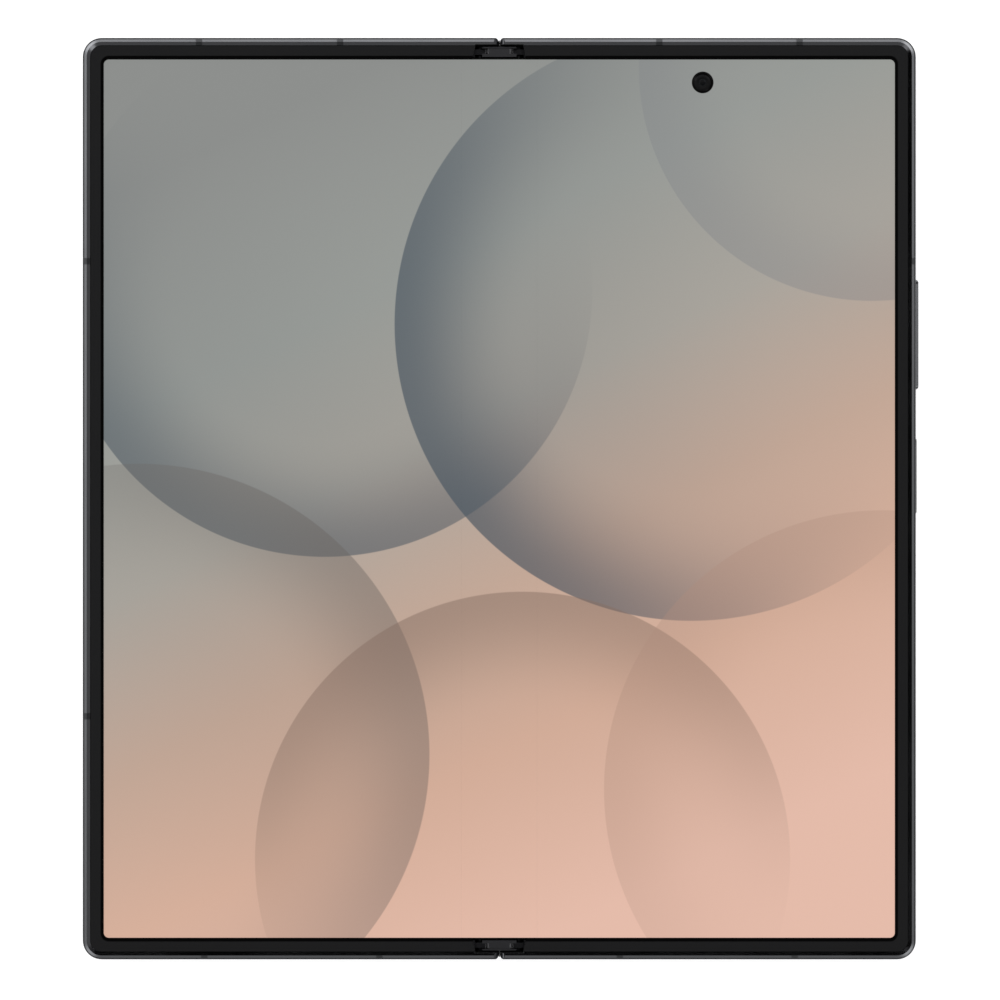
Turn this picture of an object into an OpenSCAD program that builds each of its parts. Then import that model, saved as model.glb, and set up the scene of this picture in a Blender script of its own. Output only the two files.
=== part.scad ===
// Foldable smartphone, lying open on its back.
// +Z is up, out of the inner display; +Y is the phone's top edge; the fold runs along Y at x = 0.
// z = 0 is the plane of the camera rings' faces, the lowest part of the back.
// Each hinge pin stands axis_x from the middle, so each half turns a quarter turn about its own pin.

/* [Body] */
// Width of the phone when it is open
open_w = 143.2; // [142:0.2:147]
// Height of the phone, along the fold
body_h = 158.4; // [156:0.2:164]
// Thickness of one half
body_t = 4.2; // [4.1:0.1:4.8]
// Corner radius of the frame, seen from the front
corner_r = 3.25; // [2.4:0.05:5]
// Width of the metal rim that shows round the display side
rim_w = 1.4; // [1.3:0.05:1.8]
// Rounding of the frame's front edge
front_edge_r = 0.25; // [0.2:0.05:0.5]
// Fall of the frame's front face from its crest to that rounding
crown_d = 0.06; // [0.02:0.01:0.1]
// Width of the slope on the frame's inner front edge
slope_w = 0.7; // [0.4:0.05:0.8]
// Depth of that slope
slope_d = 0.28; // [0.15:0.01:0.3]
// Rounding of the frame's back edge
back_edge_r = 0.7; // [0.4:0.05:0.9]
// Gap between the two half frames when open
seam = 0.2; // [0.2:0.05:0.4]
// Thickness of the back glass and the cover glass
glass_t = 0.45; // [0.4:0.05:0.55]
// Width of metal left round the glass on the back
back_rim_w = 0.95; // [0.8:0.05:1.2]

/* [Display] */
// Width of the plastic rim that covers the display's edge
bezel_w = 2.2; // [2:0.1:2.6]
// How far the plastic rim lies below the metal one
bezel_drop = 0.06; // [0.02:0.01:0.1]
// Depth of the display surface below the metal rim
display_recess = 0.3; // [0.25:0.05:0.4]
// Thickness of the flexible display stack
display_t = 0.4; // [0.3:0.05:0.45]
// Half width of the stretch of display that bends
flex_w = 6.5; // [6.2:0.1:6.8]
// Thickness of the frame's plate under the display
plate_t = 0.35; // [0.3:0.05:0.5]
// Radius of the hole for the inner camera
punch_r = 1.85; // [1.5:0.05:2.2]
// Inner camera's place from the middle and from the top edge
punch_x = 34.96; // [30:0.1:42]
// Distance of the inner camera below the phone's top edge
punch_drop = 7.65; // [7.2:0.05:10]

/* [Hinge] */
// Distance of each hinge pin from the middle
axis_x = 1.6; // [1.55:0.05:1.7]
// Depth of the hinge pins below the rim
axis_depth = 1.35; // [1.3:0.05:1.4]
// Outer radius of the spine cover about each pin
spine_r = 2.23; // [2.15:0.01:2.3]
// Wall of the spine cover
spine_wall = 0.35; // [0.3:0.05:0.4]
// Thickness of the frame's end walls past the spine
end_wall = 1.15; // [1:0.05:1.3]
// Radius of the hinge pins
pin_r = 0.42; // [0.35:0.01:0.45]
// Radius of the round eye on each end arm
eye_r = 0.7; // [0.65:0.01:0.72]
// Running clearance round pins and in grooves, on the radius
run_gap = 0.03; // [0.02:0.01:0.05]
// Thickness of the end arms and gears, along the fold
arm_t = 0.9; // [0.7:0.05:1]
// Gear module of the synchronising gears
gear_m = 0.1; // [0.1:0.01:0.1]
// Teeth on a full turn of the sector gears
sector_teeth = 16; // [16:2:16]
// Teeth on each idler gear
idler_teeth = 10; // [10:2:10]
// Radius of the idler gears' axles
axle_r = 0.2; // [0.15:0.01:0.25]
// Inner radius of the crescent arms' arc
arc_in = 1; // [0.95:0.01:1.05]
// Outer radius of the crescent arms' arc
arc_out = 1.6; // [1.5:0.01:1.62]
// Distance between the slide blocks along the spine
block_pitch = 50; // [46:1:52]
// Length of one slide block
block_l = 9.6; // [8:0.1:11]
// Thickness of the wing plates and the centre plate under the fold
wing_t = 0.16; // [0.12:0.01:0.18]
// Distance of the wing plates' pivot from the middle
wing_x = 6.6; // [6.5:0.05:6.7]
// Radius of the wing plates' rolled edge
bead_r = 0.16; // [0.14:0.01:0.17]

/* [Keys] */
// Length of the volume key
volume_l = 19; // [16:0.1:22]
// Middle of the volume key above the phone's middle
volume_y = 28.25; // [24:0.05:32]
// How far the volume key stands out
volume_out = 0.55; // [0.4:0.05:0.6]
// Length of the power key
power_l = 13.05; // [11:0.05:15]
// Middle of the power key above the phone's middle
power_y = 3.9; // [0:0.1:8]
// How far the power key stands out
power_out = 0.25; // [0.22:0.01:0.4]
// Width of both keys, through the phone's thickness
key_w = 1.7; // [1.4:0.1:2]
// Gap round the keys
key_gap = 0.08; // [0.05:0.01:0.12]

/* [Cameras] */
// Width of the camera island
island_w = 17.4; // [16:0.2:19]
// Length of the camera island
island_l = 45.8; // [44:0.2:50]
// Height of the island over the back glass
island_h = 1.7; // [1.4:0.1:2.2]
// Height of the lens rings over the island
ring_h = 0.6; // [0.4:0.05:0.8]
// Outer radius of a lens ring
ring_r = 6.8; // [6.4:0.1:7]
// Radius of the lens openings in the island
lens_r = 5.3; // [5:0.1:5.5]
// Distance between the lenses
lens_pitch = 14.2; // [13.8:0.1:14.6]
// Middle of the island from the phone's outer edge
island_in = 13.7; // [13:0.1:16]
// Middle of the island below the phone's top edge
island_drop = 28.2; // [27:0.1:32]
// Radius of the flash lens
flash_r = 2.3; // [2:0.1:3]

/* [Tray and sockets] */
// Length of the SIM tray
tray_l = 17; // [15:0.5:19]
// Width of the SIM tray
tray_w = 11.4; // [10:0.1:12]
// Thickness of the SIM tray
tray_t = 0.8; // [0.7:0.05:0.9]
// Middle of the SIM tray from the phone's middle
tray_x = 38; // [30:0.5:46]
// Width of the USB socket's opening
usb_w = 8.4; // [8.3:0.02:8.5]
// Height of the USB socket's opening
usb_h = 2.4; // [2.3:0.02:2.4]
// Middle of the USB socket from the phone's middle
usb_x = 36; // [30:0.5:40]
// Radius of the speaker and microphone holes
hole_r = 0.5; // [0.4:0.05:0.6]
// Distance between the speaker holes
hole_pitch = 2.1; // [1.8:0.1:2.4]
// Number of holes in each speaker row
hole_count = 6; // [4:1:7]

/* [Inside] */
// Width of the wall between the hinge bay and each half's inside
bay_wall = 0.6; // [0.5:0.05:0.8]
// Clearance round the batteries and boards
fit = 0.2; // [0.1:0.05:0.3]
// Thickness of both batteries
battery_t = 2.1; // [1.8:0.05:2.2]
// Length of the right battery
right_battery_l = 74; // [60:1:78]
// Length of the left battery
left_battery_l = 96; // [80:1:100]
// Height of the space for the left half's board, below the top edge
left_board_l = 35; // [32:1:40]
// Width of one rear camera's body
camera_w = 12; // [11:0.1:13]
// Width and length of the shield cans
can_w = 15; // [12:0.5:16]
// Length of the shield cans
can_l = 17; // [14:0.5:18]
// Radius of the charging coil's first turn
coil_r = 11; // [9:0.5:12]
// Distance between the charging coil's turns
coil_step = 2.2; // [1.8:0.1:2.4]
// Length of the magnets that hold the phone shut
magnet_l = 10; // [8:0.5:12]
// Thickness of the circuit boards
board_t = 0.5; // [0.4:0.05:0.6]
// Height of the shield cans
shield_h = 0.8; // [0.6:0.05:0.9]
// Radius of the small screws' threads
screw_r = 0.4; // [0.35:0.05:0.45]
// Radius of the small screws' heads
screw_head_r = 0.75; // [0.7:0.05:0.8]

/* [Hidden] */
$fn = 64;
eps = 0.01;

// Heights, from the camera rings' faces up
back_z = island_h + ring_h;
rim_z = back_z + body_t;
surface_z = rim_z - display_recess;
bezel_z = rim_z - bezel_drop;
panel_z = surface_z - display_t;
plate_z = panel_z - plate_t;
inside_z = back_z + glass_t;
axis_z = rim_z - axis_depth;
mid_z = back_z + body_t / 2;

// Places across and along
half_w = open_w / 2;
half_h = body_h / 2;
seam_x = seam / 2;
bay_x = wing_x + 0.6;
well_x = axis_x + spine_r + 0.3;
inner_x = bay_x + bay_wall;
bay_y = half_h - end_wall;
spine_y = bay_y - 0.1;
rim_in = rim_w + bezel_w;
strip_y = half_h - rim_in + 0.1;
side_x = half_w - rim_w;
side_y = half_h - rim_w;

// Hinge
spine_in = spine_r - spine_wall;
spine_top_z = axis_z - 1.05;
cap_top_z = rim_z - 0.15;
cap_bottom_z = cap_top_z - 0.25;
cap_groove_w = 0.2;
cap_groove_d = 0.17;
cheek_x = 2.95;
sector_r = gear_m * sector_teeth / 2;
idler_r = gear_m * idler_teeth / 2;
idler_x = idler_r;
idler_z = axis_z - sqrt(pow(sector_r + idler_r, 2) - pow(axis_x - idler_x, 2));
arm_y = (strip_y + spine_y) / 2 + 0.1;
cheek_t = (spine_y - strip_y - 0.25 - arm_t) / 2 - run_gap;
arm_low_z = axis_z - 0.95;
arm_top_z = axis_z - 0.3;
foot_x0 = 4.2;
foot_x1 = inner_x + 3.6;
foot_y0 = strip_y + 0.2;
cres_z0 = axis_z - 1.4;
cres_z1 = axis_z - 1;
cres_w = block_l / 2 - 1.2;
cres_foot_x = inner_x + 4;
wing_z = panel_z - 0.02;
bead_z = wing_z - bead_r;
wing_end_x = 2.6;
wing_y = strip_y - 0.3;
hook_off = 14;
blocks = [for (k = [-1:1]) k * block_pitch];
hooks = [for (b = blocks) for (s = [-1, 1]) b + s * hook_off];

// Cameras
island_x = half_w - island_in;
island_y = half_h - island_drop;
lenses = [for (k = [-1:1]) island_y + k * lens_pitch];
flash_x = island_x - island_w / 2 - 4.6;
flash_y = island_y + lens_pitch;
window_z = ring_h * 0.4;
punch_y = half_h - punch_drop;
cover_cam_x = half_w / 2 + 1;
cover_cam_r = 1.7;

// Antenna bands: place along each edge
band_w = 1.1;
right_top_bands = [27.5, 51.6];
right_bottom_bands = [20.7, 50.75];
right_side_bands = [40.8];
left_top_bands = [27.35, 51.6];
left_bottom_bands = [20.6, 50.7];
left_side_bands = [40.8, -37.4];

// Batteries and boards
battery_top_z = plate_z;
board_z = plate_z - shield_h;
right_batt_y1 = lenses[0] - camera_w / 2 - 1;
right_batt_y0 = right_batt_y1 - right_battery_l;
left_batt_y1 = half_h - left_board_l - 1;
left_batt_y0 = left_batt_y1 - left_battery_l;
magnet_ys = [for (k = [0, 1]) -half_h + 27 + k * (magnet_l + 8)];
board_x = cres_foot_x + 0.3;
batt_x0 = board_x + 0.7;
batt_x1 = side_x - 2;
tray_z = mid_z - tray_t / 2;
tray_head_t = 0.7;
tray_head_w = tray_w + 1.6;
tray_head_h = tray_t + 0.9;
usb_l = 7.4;
usb_shell = 0.25;

// ---- shapes used by several parts ----

// Box from one corner to the opposite one
module block(x0, x1, y0, y1, z0, z1)
    translate([x0, y0, z0]) cube([x1 - x0, y1 - y0, z1 - z0]);

// The same on both halves of the phone's height
module both_ends() {
    children();
    mirror([0, 1, 0]) children();
}

// Anything drawn for the right half, moved to the left one
module on_left() mirror([1, 0, 0]) children();

// Cylinder along Y
module rod(x, z, y0, y1, r)
    translate([x, y0, z]) rotate([-90, 0, 0]) cylinder(h = y1 - y0, r = r);

// Flat pill, long along Y
module pill(w, l, z0, z1) {
    translate([0, 0, z0]) linear_extrude(z1 - z0) union() {
        square([w, l - w], center = true);
        for (s = [-1, 1]) translate([0, s * (l - w) / 2]) circle(d = w);
    }
}

// Flat plate over one half with round outer corners, set in from the outline
module half_plate(inset, r, x0, z0, z1) {
    x1 = half_w - inset;
    y1 = half_h - inset;
    translate([0, 0, z0]) linear_extrude(z1 - z0) union() {
        translate([x0, -y1]) square([x1 - r - x0, 2 * y1]);
        translate([x0, -y1 + r]) square([x1 - x0, 2 * (y1 - r)]);
        for (s = [-1, 1]) translate([x1 - r, s * (y1 - r)]) circle(r);
    }
}

// Outline of the rim across its width: rounded outer edges, and a crest from which the front
// face falls a little to the outside and slopes down to the plastic rim on the inside
module rim_section(w) {
    edge_y = body_t - crown_d - front_edge_r;
    run = w - slope_w - front_edge_r;
    rise = crown_d + front_edge_r;
    // Where a line from the crest touches the outer rounding
    touch = atan2(rise, run) + acos(front_edge_r / sqrt(run * run + rise * rise));
    union() {
        translate([0, back_edge_r]) square([w, edge_y - back_edge_r]);
        translate([back_edge_r, 0]) square([w - back_edge_r, back_edge_r + eps]);
        translate([back_edge_r, back_edge_r]) circle(back_edge_r);
        translate([front_edge_r, edge_y]) circle(front_edge_r);
        polygon([
            [front_edge_r, edge_y - eps],
            [w, edge_y - eps],
            [w, body_t - slope_d],
            [w - slope_w, body_t],
            [front_edge_r + front_edge_r * cos(touch), edge_y + front_edge_r * sin(touch)]
        ]);
    }
}

// The rim's section swept round the top, the outer side and the bottom of the right half
module rim_sweep(w, x0) {
    cx = half_w - corner_r;
    cy = half_h - corner_r;
    both_ends() {
        translate([cx, cy, back_z]) rotate_extrude(angle = 90)
            translate([corner_r, 0]) mirror([1, 0]) rim_section(w);
        translate([x0, half_h, back_z]) rotate([90, 0, 90]) linear_extrude(cx - x0)
            mirror([1, 0]) rim_section(w);
    }
    translate([half_w, cy, back_z]) rotate([90, 0, 0]) linear_extrude(2 * cy)
        mirror([1, 0]) rim_section(w);
}

// What an end wall keeps near the fold, so that the two halves roll past each other
module fold_round_cut() {
    roll_r = axis_x - 0.1;
    translate([0, -half_h - 1, 0]) difference() {
        block(-1, axis_x, 0, body_h + 2, axis_z, rim_z + 1);
        rod(axis_x, axis_z, -1, body_h + 3, roll_r);
    }
}

// Rounded upright edges at the fold's two ends, which make the notch in the outline
module notch_cut() {
    notch_r = back_edge_r;
    both_ends() translate([seam_x, half_h, back_z - 1]) difference() {
        translate([-1, -notch_r, 0]) cube([1 + notch_r, notch_r + 1, body_t + 2]);
        translate([notch_r, -notch_r, -1]) cylinder(h = body_t + 4, r = notch_r);
        translate([-2, -notch_r - 1, -1]) cube([2, 1, body_t + 4]);
    }
}

// Space for a screw through a foot: the thread's hole
module screw_holes(places, z0, z1)
    for (p = places) translate([p[0], p[1], z0]) cylinder(h = z1 - z0, r = screw_r);

// Slots through the rim for the antenna bands
module band_slots(top, bottom, side, w) {
    for (x = top) block(x - w / 2, x + w / 2, side_y - 0.2, half_h + 1, back_z - 1, rim_z + 1);
    for (x = bottom) block(x - w / 2, x + w / 2, -half_h - 1, -side_y + 0.2, back_z - 1, rim_z + 1);
    for (y = side) block(side_x - 0.2, half_w + 1, y - w / 2, y + w / 2, back_z - 1, rim_z + 1);
}

// Rim with the glass rebate on its back
module rebated_rim() {
    difference() {
        rim_sweep(rim_w, seam_x);
        half_plate(back_rim_w, corner_r - back_rim_w, seam_x - 1, back_z - 1, inside_z);
    }
}

module antenna_bands(top, bottom, side) {
    intersection() {
        rebated_rim();
        band_slots(top, bottom, side, band_w);
    }
}

end_screws = [for (s = [-1, 1]) [inner_x + 2.2, s * (side_y - 1)]];
mid_screws = [for (b = blocks) for (s = [-1, 1]) [inner_x + 2.6, b + s * block_l / 4]];

// Frame of one half: rim, plate under the display, wall beside the hinge and seats for the arms
module half_frame(top, bottom, side, arm_side) {
    foot_ys = [for (b = blocks) b + arm_side * block_l / 4];
    difference() {
        union() {
            difference() {
                rebated_rim();
                // The spine's ends reach further out than the rim does
                block(-1, well_x, -bay_y, bay_y, inside_z - 1, rim_z + 1);
                fold_round_cut();
                notch_cut();
                band_slots(top, bottom, side, band_w);
            }
            // Plate under the display
            block(bay_x - 0.35, side_x, -foot_y0, foot_y0, plate_z, panel_z);
            block(foot_x1 + fit, side_x, foot_y0 - eps, side_y, plate_z, panel_z);
            block(foot_x1 + fit, side_x, -side_y, -foot_y0 + eps, plate_z, panel_z);
            // Wall beside the hinge bay, and ledges along the outer walls that carry the glass
            block(bay_x, inner_x, -side_y, side_y, inside_z, plate_z + eps);
            both_ends() block(bay_x, foot_x1 + fit, foot_y0, side_y, inside_z, arm_low_z);
            // Strip of metal along the fold on the back
            block(seam_x, axis_x, -bay_y, bay_y, back_z, inside_z);
            both_ends() block(seam_x, axis_x, bay_y - eps, half_h - back_edge_r, back_z, inside_z);
            // Hooks that hold the wing plate's rolled edge
            for (y = hooks) block(wing_x - 0.35, bay_x, y - 1, y + 1, plate_z - 0.3, wing_z);
        }
        for (y = hooks) rod(wing_x, bead_z, y - 1.5, y + 1.5, bead_r + run_gap);
        // Room for the end arms' feet and for the mid arms that pass the wall
        both_ends() block(foot_x0, foot_x1, foot_y0, side_y, arm_low_z, panel_z);
        for (y = foot_ys) block(bay_x - 1, inner_x + 1, y - cres_w / 2 - fit, y + cres_w / 2 + fit,
            cres_z0 - 0.05, plate_z);
        // Windows for the flexible cables
        for (s = [-1, 1]) block(bay_x - 1, inner_x + 1, s * cable_y - cable_w / 2 - fit,
            s * cable_y + cable_w / 2 + fit, cable_z - 0.05, plate_z);
        screw_holes(end_screws, inside_z - 1, plate_z);
        for (s = mid_screws) if (s[1] * arm_side > floor_of(s[1]) * arm_side)
            translate([s[0], s[1], plate_z - 1]) cylinder(h = 1 + plate_t - 0.1, r = screw_r);
    }
}

// The block's middle nearest to a place along the fold
function floor_of(y) = block_pitch * round(y / block_pitch);

cable_y = block_pitch / 2;
cable_w = 8;
cable_t = 0.1;
cable_z = plate_z - 0.01 - cable_t;
cable_end_x = inner_x + 2.6;

// ---- right half ----

module right_frame() color("#4a4a4d") {
    difference() {
        half_frame(right_top_bands, right_bottom_bands, right_side_bands, 1);
        // Inner camera, keys, socket, speaker and microphone
        translate([punch_x, punch_y, plate_z - 1]) cylinder(h = 2, r = punch_r + 0.6);
        key_cut(volume_y, volume_l);
        key_cut(power_y, power_l);
        socket_cut();
        bottom_holes(usb_x + 11, hole_count);
        bottom_holes(usb_x - 11, 1);
        top_hole(usb_x + 4);
    }
}

module right_antenna_bands() color("#2d2d2f")
    antenna_bands(right_top_bands, right_bottom_bands, right_side_bands);

// Opening for a key: a slot with round ends through the rim
module key_slot(y, l, w, x0, x1)
    translate([x0, y, mid_z]) rotate([0, 90, 0]) pill(w, l, 0, x1 - x0);

module key_cut(y, l) {
    key_slot(y, l + 2 * key_gap, key_w + 2 * key_gap, side_x - 1, half_w + 1);
}

// Row of round holes through the bottom rim
module bottom_holes(x, count)
    for (k = [0:count - 1])
        translate([x + k * hole_pitch, -half_h - 1, mid_z]) rotate([-90, 0, 0])
            cylinder(h = rim_w + 2, r = hole_r);

module top_hole(x)
    translate([x, half_h + 1, mid_z]) rotate([90, 0, 0]) cylinder(h = rim_w + 2, r = hole_r);

// Pill-shaped mouth of the USB socket
module socket_shape(grow, y0, y1) {
    w = usb_w + 2 * grow;
    h = usb_h + 2 * grow;
    translate([usb_x, y0, mid_z]) rotate([-90, 90, 0]) pill(h, w, 0, y1 - y0);
}

module socket_cut() socket_shape(0.05, -half_h - 1, -side_y + 1);

module right_bezel() color("#1c1c1d") bezel_ring();

// Plastic rim on the display's edge, with a thicker end beside the spine's caps
module bezel_ring() {
    x0 = flex_w;
    difference() {
        union() {
            half_plate(rim_w, corner_r - rim_w, x0, surface_z, bezel_z);
            both_ends() block(well_x, x0 + eps, foot_y0, side_y, panel_z, bezel_z);
            both_ends() block(well_x, x0 + eps, strip_y - 0.1, side_y, surface_z + 0.02, bezel_z);
        }
        half_plate(rim_in, 0.9, -1, surface_z - 1, rim_z + 1);
        both_ends() translate([0, 0, panel_z - 1]) linear_extrude(3)
            polygon([
                [well_x - 1, side_y], [well_x, side_y],
                [well_x + 0.52, strip_y - 0.2], [well_x - 1, strip_y - 0.2]
            ]);
    }
}

module right_display_panel() color("#b9a79b") display_panel(true);

// Display of one half, under the plastic rim's inner part
module display_panel(hole) {
    difference() {
        half_plate(rim_w + 0.1, corner_r - rim_w, flex_w, panel_z, surface_z);
        if (hole) translate([punch_x, punch_y, panel_z - 1]) cylinder(h = 3, r = punch_r);
    }
}

module right_back_glass() color("#2b2b2d") {
    difference() {
        half_plate(back_rim_w + 0.05, corner_r - back_rim_w, axis_x + 0.05, back_z, inside_z);
        translate([island_x, island_y, 0]) pill(island_w + 0.1, island_l + 0.1, back_z - 1, inside_z + 1);
        translate([flash_x, flash_y, back_z - 1]) cylinder(h = 3, r = flash_r + 0.05);
    }
}

module at_lenses() for (y = lenses) translate([island_x, y, 0]) children();

module camera_island() color("#3a3a3c") {
    difference() {
        union() {
            translate([island_x, island_y, 0]) pill(island_w, island_l, ring_h, inside_z);
            translate([island_x, island_y, 0]) pill(island_w + 1.6, island_l + 1.6, inside_z, inside_z + 0.4);
        }
        at_lenses() translate([0, 0, ring_h - 1]) cylinder(h = back_z + 2, r = lens_r);
    }
}

module camera_rings() color("#6d6d70")
    at_lenses() rotate_extrude() difference() {
        translate([lens_r, 0]) square([ring_r - lens_r, ring_h]);
        // Bevel on the ring's outer edge and seat for the window
        polygon([[ring_r - 0.3, -eps], [ring_r + eps, -eps], [ring_r + eps, 0.3]]);
        translate([lens_r - eps, window_z - 0.15]) square([0.3 + eps, ring_h]);
    }

module camera_windows() color([0.05, 0.05, 0.06, 0.6])
    at_lenses() translate([0, 0, window_z - 0.15]) cylinder(h = ring_h - window_z + 0.15, r = lens_r + 0.28);

module rear_cameras() color("#141416")
    at_lenses() difference() {
        union() {
            translate([-camera_w / 2, -camera_w / 2, inside_z + 0.42])
                cube([camera_w, camera_w, plate_z - inside_z - 0.42]);
            translate([0, 0, ring_h + 0.1]) cylinder(h = inside_z + 0.42 - ring_h, r = lens_r - 0.15);
        }
        // Stepped well in front of the lens
        translate([0, 0, ring_h]) cylinder(h = 0.5, r1 = 4.2, r2 = 3.1);
    }

module flash_lens() color("#e8e2c8") {
    translate([flash_x, flash_y, back_z + 0.02]) cylinder(h = glass_t + 0.3, r = flash_r);
    translate([flash_x - 2.8, flash_y - 2.8, inside_z + 0.32]) cube([5.6, 5.6, board_low_z - inside_z - 0.32]);
}

board_low_z = board_z - board_t;

module main_board() color("#1f4d3a") {
    difference() {
        union() {
            block(board_x, island_x - island_w / 2 - 1, right_batt_y1 + 1, side_y - 0.6, board_low_z, board_z);
            block(board_x, half_w / 2, cable_y - cable_w / 2, right_batt_y1 + 1 + eps, board_low_z, board_z);
        }
        block(batt_x0 - fit, half_w, -half_h, right_batt_y1 + fit, 0, rim_z);
        translate([punch_x, punch_y, 0]) block(-3.3, 3.3, -3.3, 3.3, 0, rim_z);
        translate([flash_x, flash_y, 0]) block(-3, 3, -3, 3, 0, board_low_z - eps);
    }
}

// Shield cans on the board's display side, which touch the frame's plate
module board_shields() color("#9a9a9c") {
    x0 = board_x + 1;
    y0 = right_batt_y1 + 2.5;
    block(x0, x0 + can_w, y0, y0 + can_l, board_z, plate_z);
    block(x0, x0 + can_w, y0 + can_l + 1, side_y - 2, board_z, plate_z);
    block(x0 + can_w + 1.5, flash_x - 1, y0, punch_y - 6, board_z, plate_z);
}

module right_battery() color("#2f2f31")
    block(batt_x0, batt_x1, right_batt_y0, right_batt_y1, plate_z - battery_t, plate_z);

// Flat coil for wireless charging, under the battery
module charging_coil() color("#b87333")
    translate([(batt_x0 + batt_x1) / 2, (right_batt_y0 + right_batt_y1) / 2, plate_z - battery_t - 0.25])
        rotate_extrude() for (k = [0:4]) translate([coil_r + k * coil_step, 0]) square([coil_step + 0.05, 0.25]);

module sub_board() color("#1f4d3a") {
    difference() {
        block(board_x, batt_x1, -side_y + 1, right_batt_y0 - 1, plate_z - 0.4, plate_z);
        translate([usb_x, -side_y, 0]) block(-6, 6, -1, usb_l + 1.5, 0, rim_z);
        block(usb_x + 8, half_w, -half_h, -side_y + 12, 0, rim_z);
    }
}

module usb_socket() color("#8c8c8e") {
    y0 = -half_h + 0.9;
    y1 = -side_y + usb_l;
    difference() {
        union() {
            socket_shape(0.04, y0, -side_y);
            translate([usb_x - 5.6, -side_y, plate_z - 3]) cube([11.2, usb_l, 3]);
        }
        socket_shape(-usb_shell, y0 - 1, y1 - 1);
        block(0, open_w, -half_h, half_h, 0, inside_z);
    }
    // Contact tongue
    block(usb_x - 3.3, usb_x + 3.3, y0 + 0.8, y1 - 1 + eps, mid_z - 0.3, mid_z + 0.3);
}

module bottom_speaker() color("#262628") {
    x0 = usb_x + 8.5;
    block(x0, batt_x1, -side_y, -side_y + 11, plate_z - 2.4, plate_z);
}

module vibration_motor() color("#7d7d80")
    block(batt_x0, batt_x0 + 9, -side_y + 3, -side_y + 13, plate_z - 2.3, plate_z - 0.4);

module inner_camera() color("#101012") {
    difference() {
        union() {
            translate([punch_x, punch_y, plate_z]) cylinder(h = surface_z - plate_z - 0.12, r = punch_r - 0.05);
            translate([punch_x - 3.1, punch_y - 3.1, plate_z - 1.6]) cube([6.2, 6.2, 1.6]);
        }
        translate([punch_x, punch_y, surface_z - 0.32]) cylinder(h = 0.3, r1 = 0.7, r2 = 1.3);
    }
}

key_body_t = 0.55;
key_x0 = side_x - key_body_t;
lip_x = side_x - 0.2;
switch_x = key_x0 - 0.25;

// Dome switches behind the keys, on one flexible strip
module key_switches() color("#b08d57") {
    y0 = power_y - power_l / 2;
    y1 = volume_y + volume_l / 2;
    block(switch_x - 0.35, switch_x - 0.15, y0, y1, mid_z - key_w / 2, plate_z);
    block(side_x - 2, switch_x - 0.35 + eps, y0, y1, plate_z - 0.3, plate_z);
    for (y = [power_y, volume_y - volume_l / 3, volume_y + volume_l / 3])
        translate([switch_x - 0.15 - eps, y, mid_z]) rotate([0, 90, 0]) cylinder(h = 0.16, r = 0.7);
}

// Arm that joins one half to its hinge pin: eye, sector gear, reach and foot
module end_arm(side) {
    y0 = arm_y - arm_t / 2;
    y1 = arm_y + arm_t / 2;
    dir = side > 0 ? atan2(idler_z - axis_z, idler_x - axis_x) : atan2(idler_z - axis_z, axis_x - idler_x);
    difference() {
        union() {
            rod(side * axis_x, axis_z, y0, y1, eye_r);
            gear(side * axis_x, axis_z, y0, y1, sector_teeth, sector_phase(dir, side), side > 0 ? [102, 232] : [-52, 78]);
            if (side > 0) reach_and_foot(y0, y1);
            else on_left() reach_and_foot(y0, y1);
        }
        rod(side * axis_x, axis_z, y0 - 1, y1 + 1, pin_r + run_gap);
        translate([side * (inner_x + 2.2), side_y - 1, 0]) {
            cylinder(h = rim_z, r = screw_r);
            translate([0, 0, panel_z - 0.5]) cylinder(h = 1, r = screw_head_r);
        }
    }
}

module reach_and_foot(y0, y1) {
    block(axis_x + 0.1, foot_x0 + eps, y0, y1, arm_low_z, arm_top_z);
    block(foot_x0, foot_x1 - 0.02, foot_y0 + 0.02, side_y - 0.02, arm_low_z, panel_z - 0.02);
}

// Angle of a tooth's middle on each idler gear
function idler_tooth(side) = side > 0 ? 180 : 180 / idler_teeth;

// Angle of a tooth's middle on a sector gear that meshes with its idler in direction dir
function sector_phase(dir, side) = let (
    step = 360 / idler_teeth,
    back = dir + 180,
    ahead = idler_tooth(side) + step * round((back - idler_tooth(side)) / step) - back
) dir - ahead * idler_teeth / sector_teeth + 180 / sector_teeth;

// Spur gear with straight-sided teeth, or a sector of one between two angles
module gear(x, z, y0, y1, teeth, phase, span) {
    pitch_r = gear_m * teeth / 2;
    root_r = pitch_r - 1.2 * gear_m;
    tip_r = pitch_r + 0.85 * gear_m;
    step = 360 / teeth;
    half_root = step * 0.27;
    half_tip = step * 0.11;
    translate([x, y1, z]) rotate([90, 0, 0]) linear_extrude(y1 - y0) union() {
        circle(root_r);
        for (k = [0:teeth - 1]) {
            a = phase + k * step;
            turn = a - 360 * floor((a - span[0]) / 360);
            if (turn <= span[1]) polygon([
                [0, 0],
                root_r * [cos(turn - half_root), sin(turn - half_root)],
                tip_r * [cos(turn - half_tip), sin(turn - half_tip)],
                tip_r * [cos(turn + half_tip), sin(turn + half_tip)],
                root_r * [cos(turn + half_root), sin(turn + half_root)]
            ]);
        }
    }
}

module right_end_arms() color("#77777a") both_ends() end_arm(1);

// Arc that slides in a slide block's groove, with its arm and foot
module crescent_arm(y) {
    y0 = y - cres_w / 2;
    y1 = y + cres_w / 2;
    difference() {
        union() {
            translate([axis_x, y1, axis_z]) rotate([90, 0, 0]) linear_extrude(y1 - y0)
                crescent_outline();
            block(axis_x + 0.95, inner_x + fit, y0, y1, cres_z0, cres_z1);
            block(inner_x + 0.05, cres_foot_x, y0, y1, cres_z0, plate_z);
        }
        translate([inner_x + 2.6, y, 0]) cylinder(h = rim_z, r = screw_r);
    }
}

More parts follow.
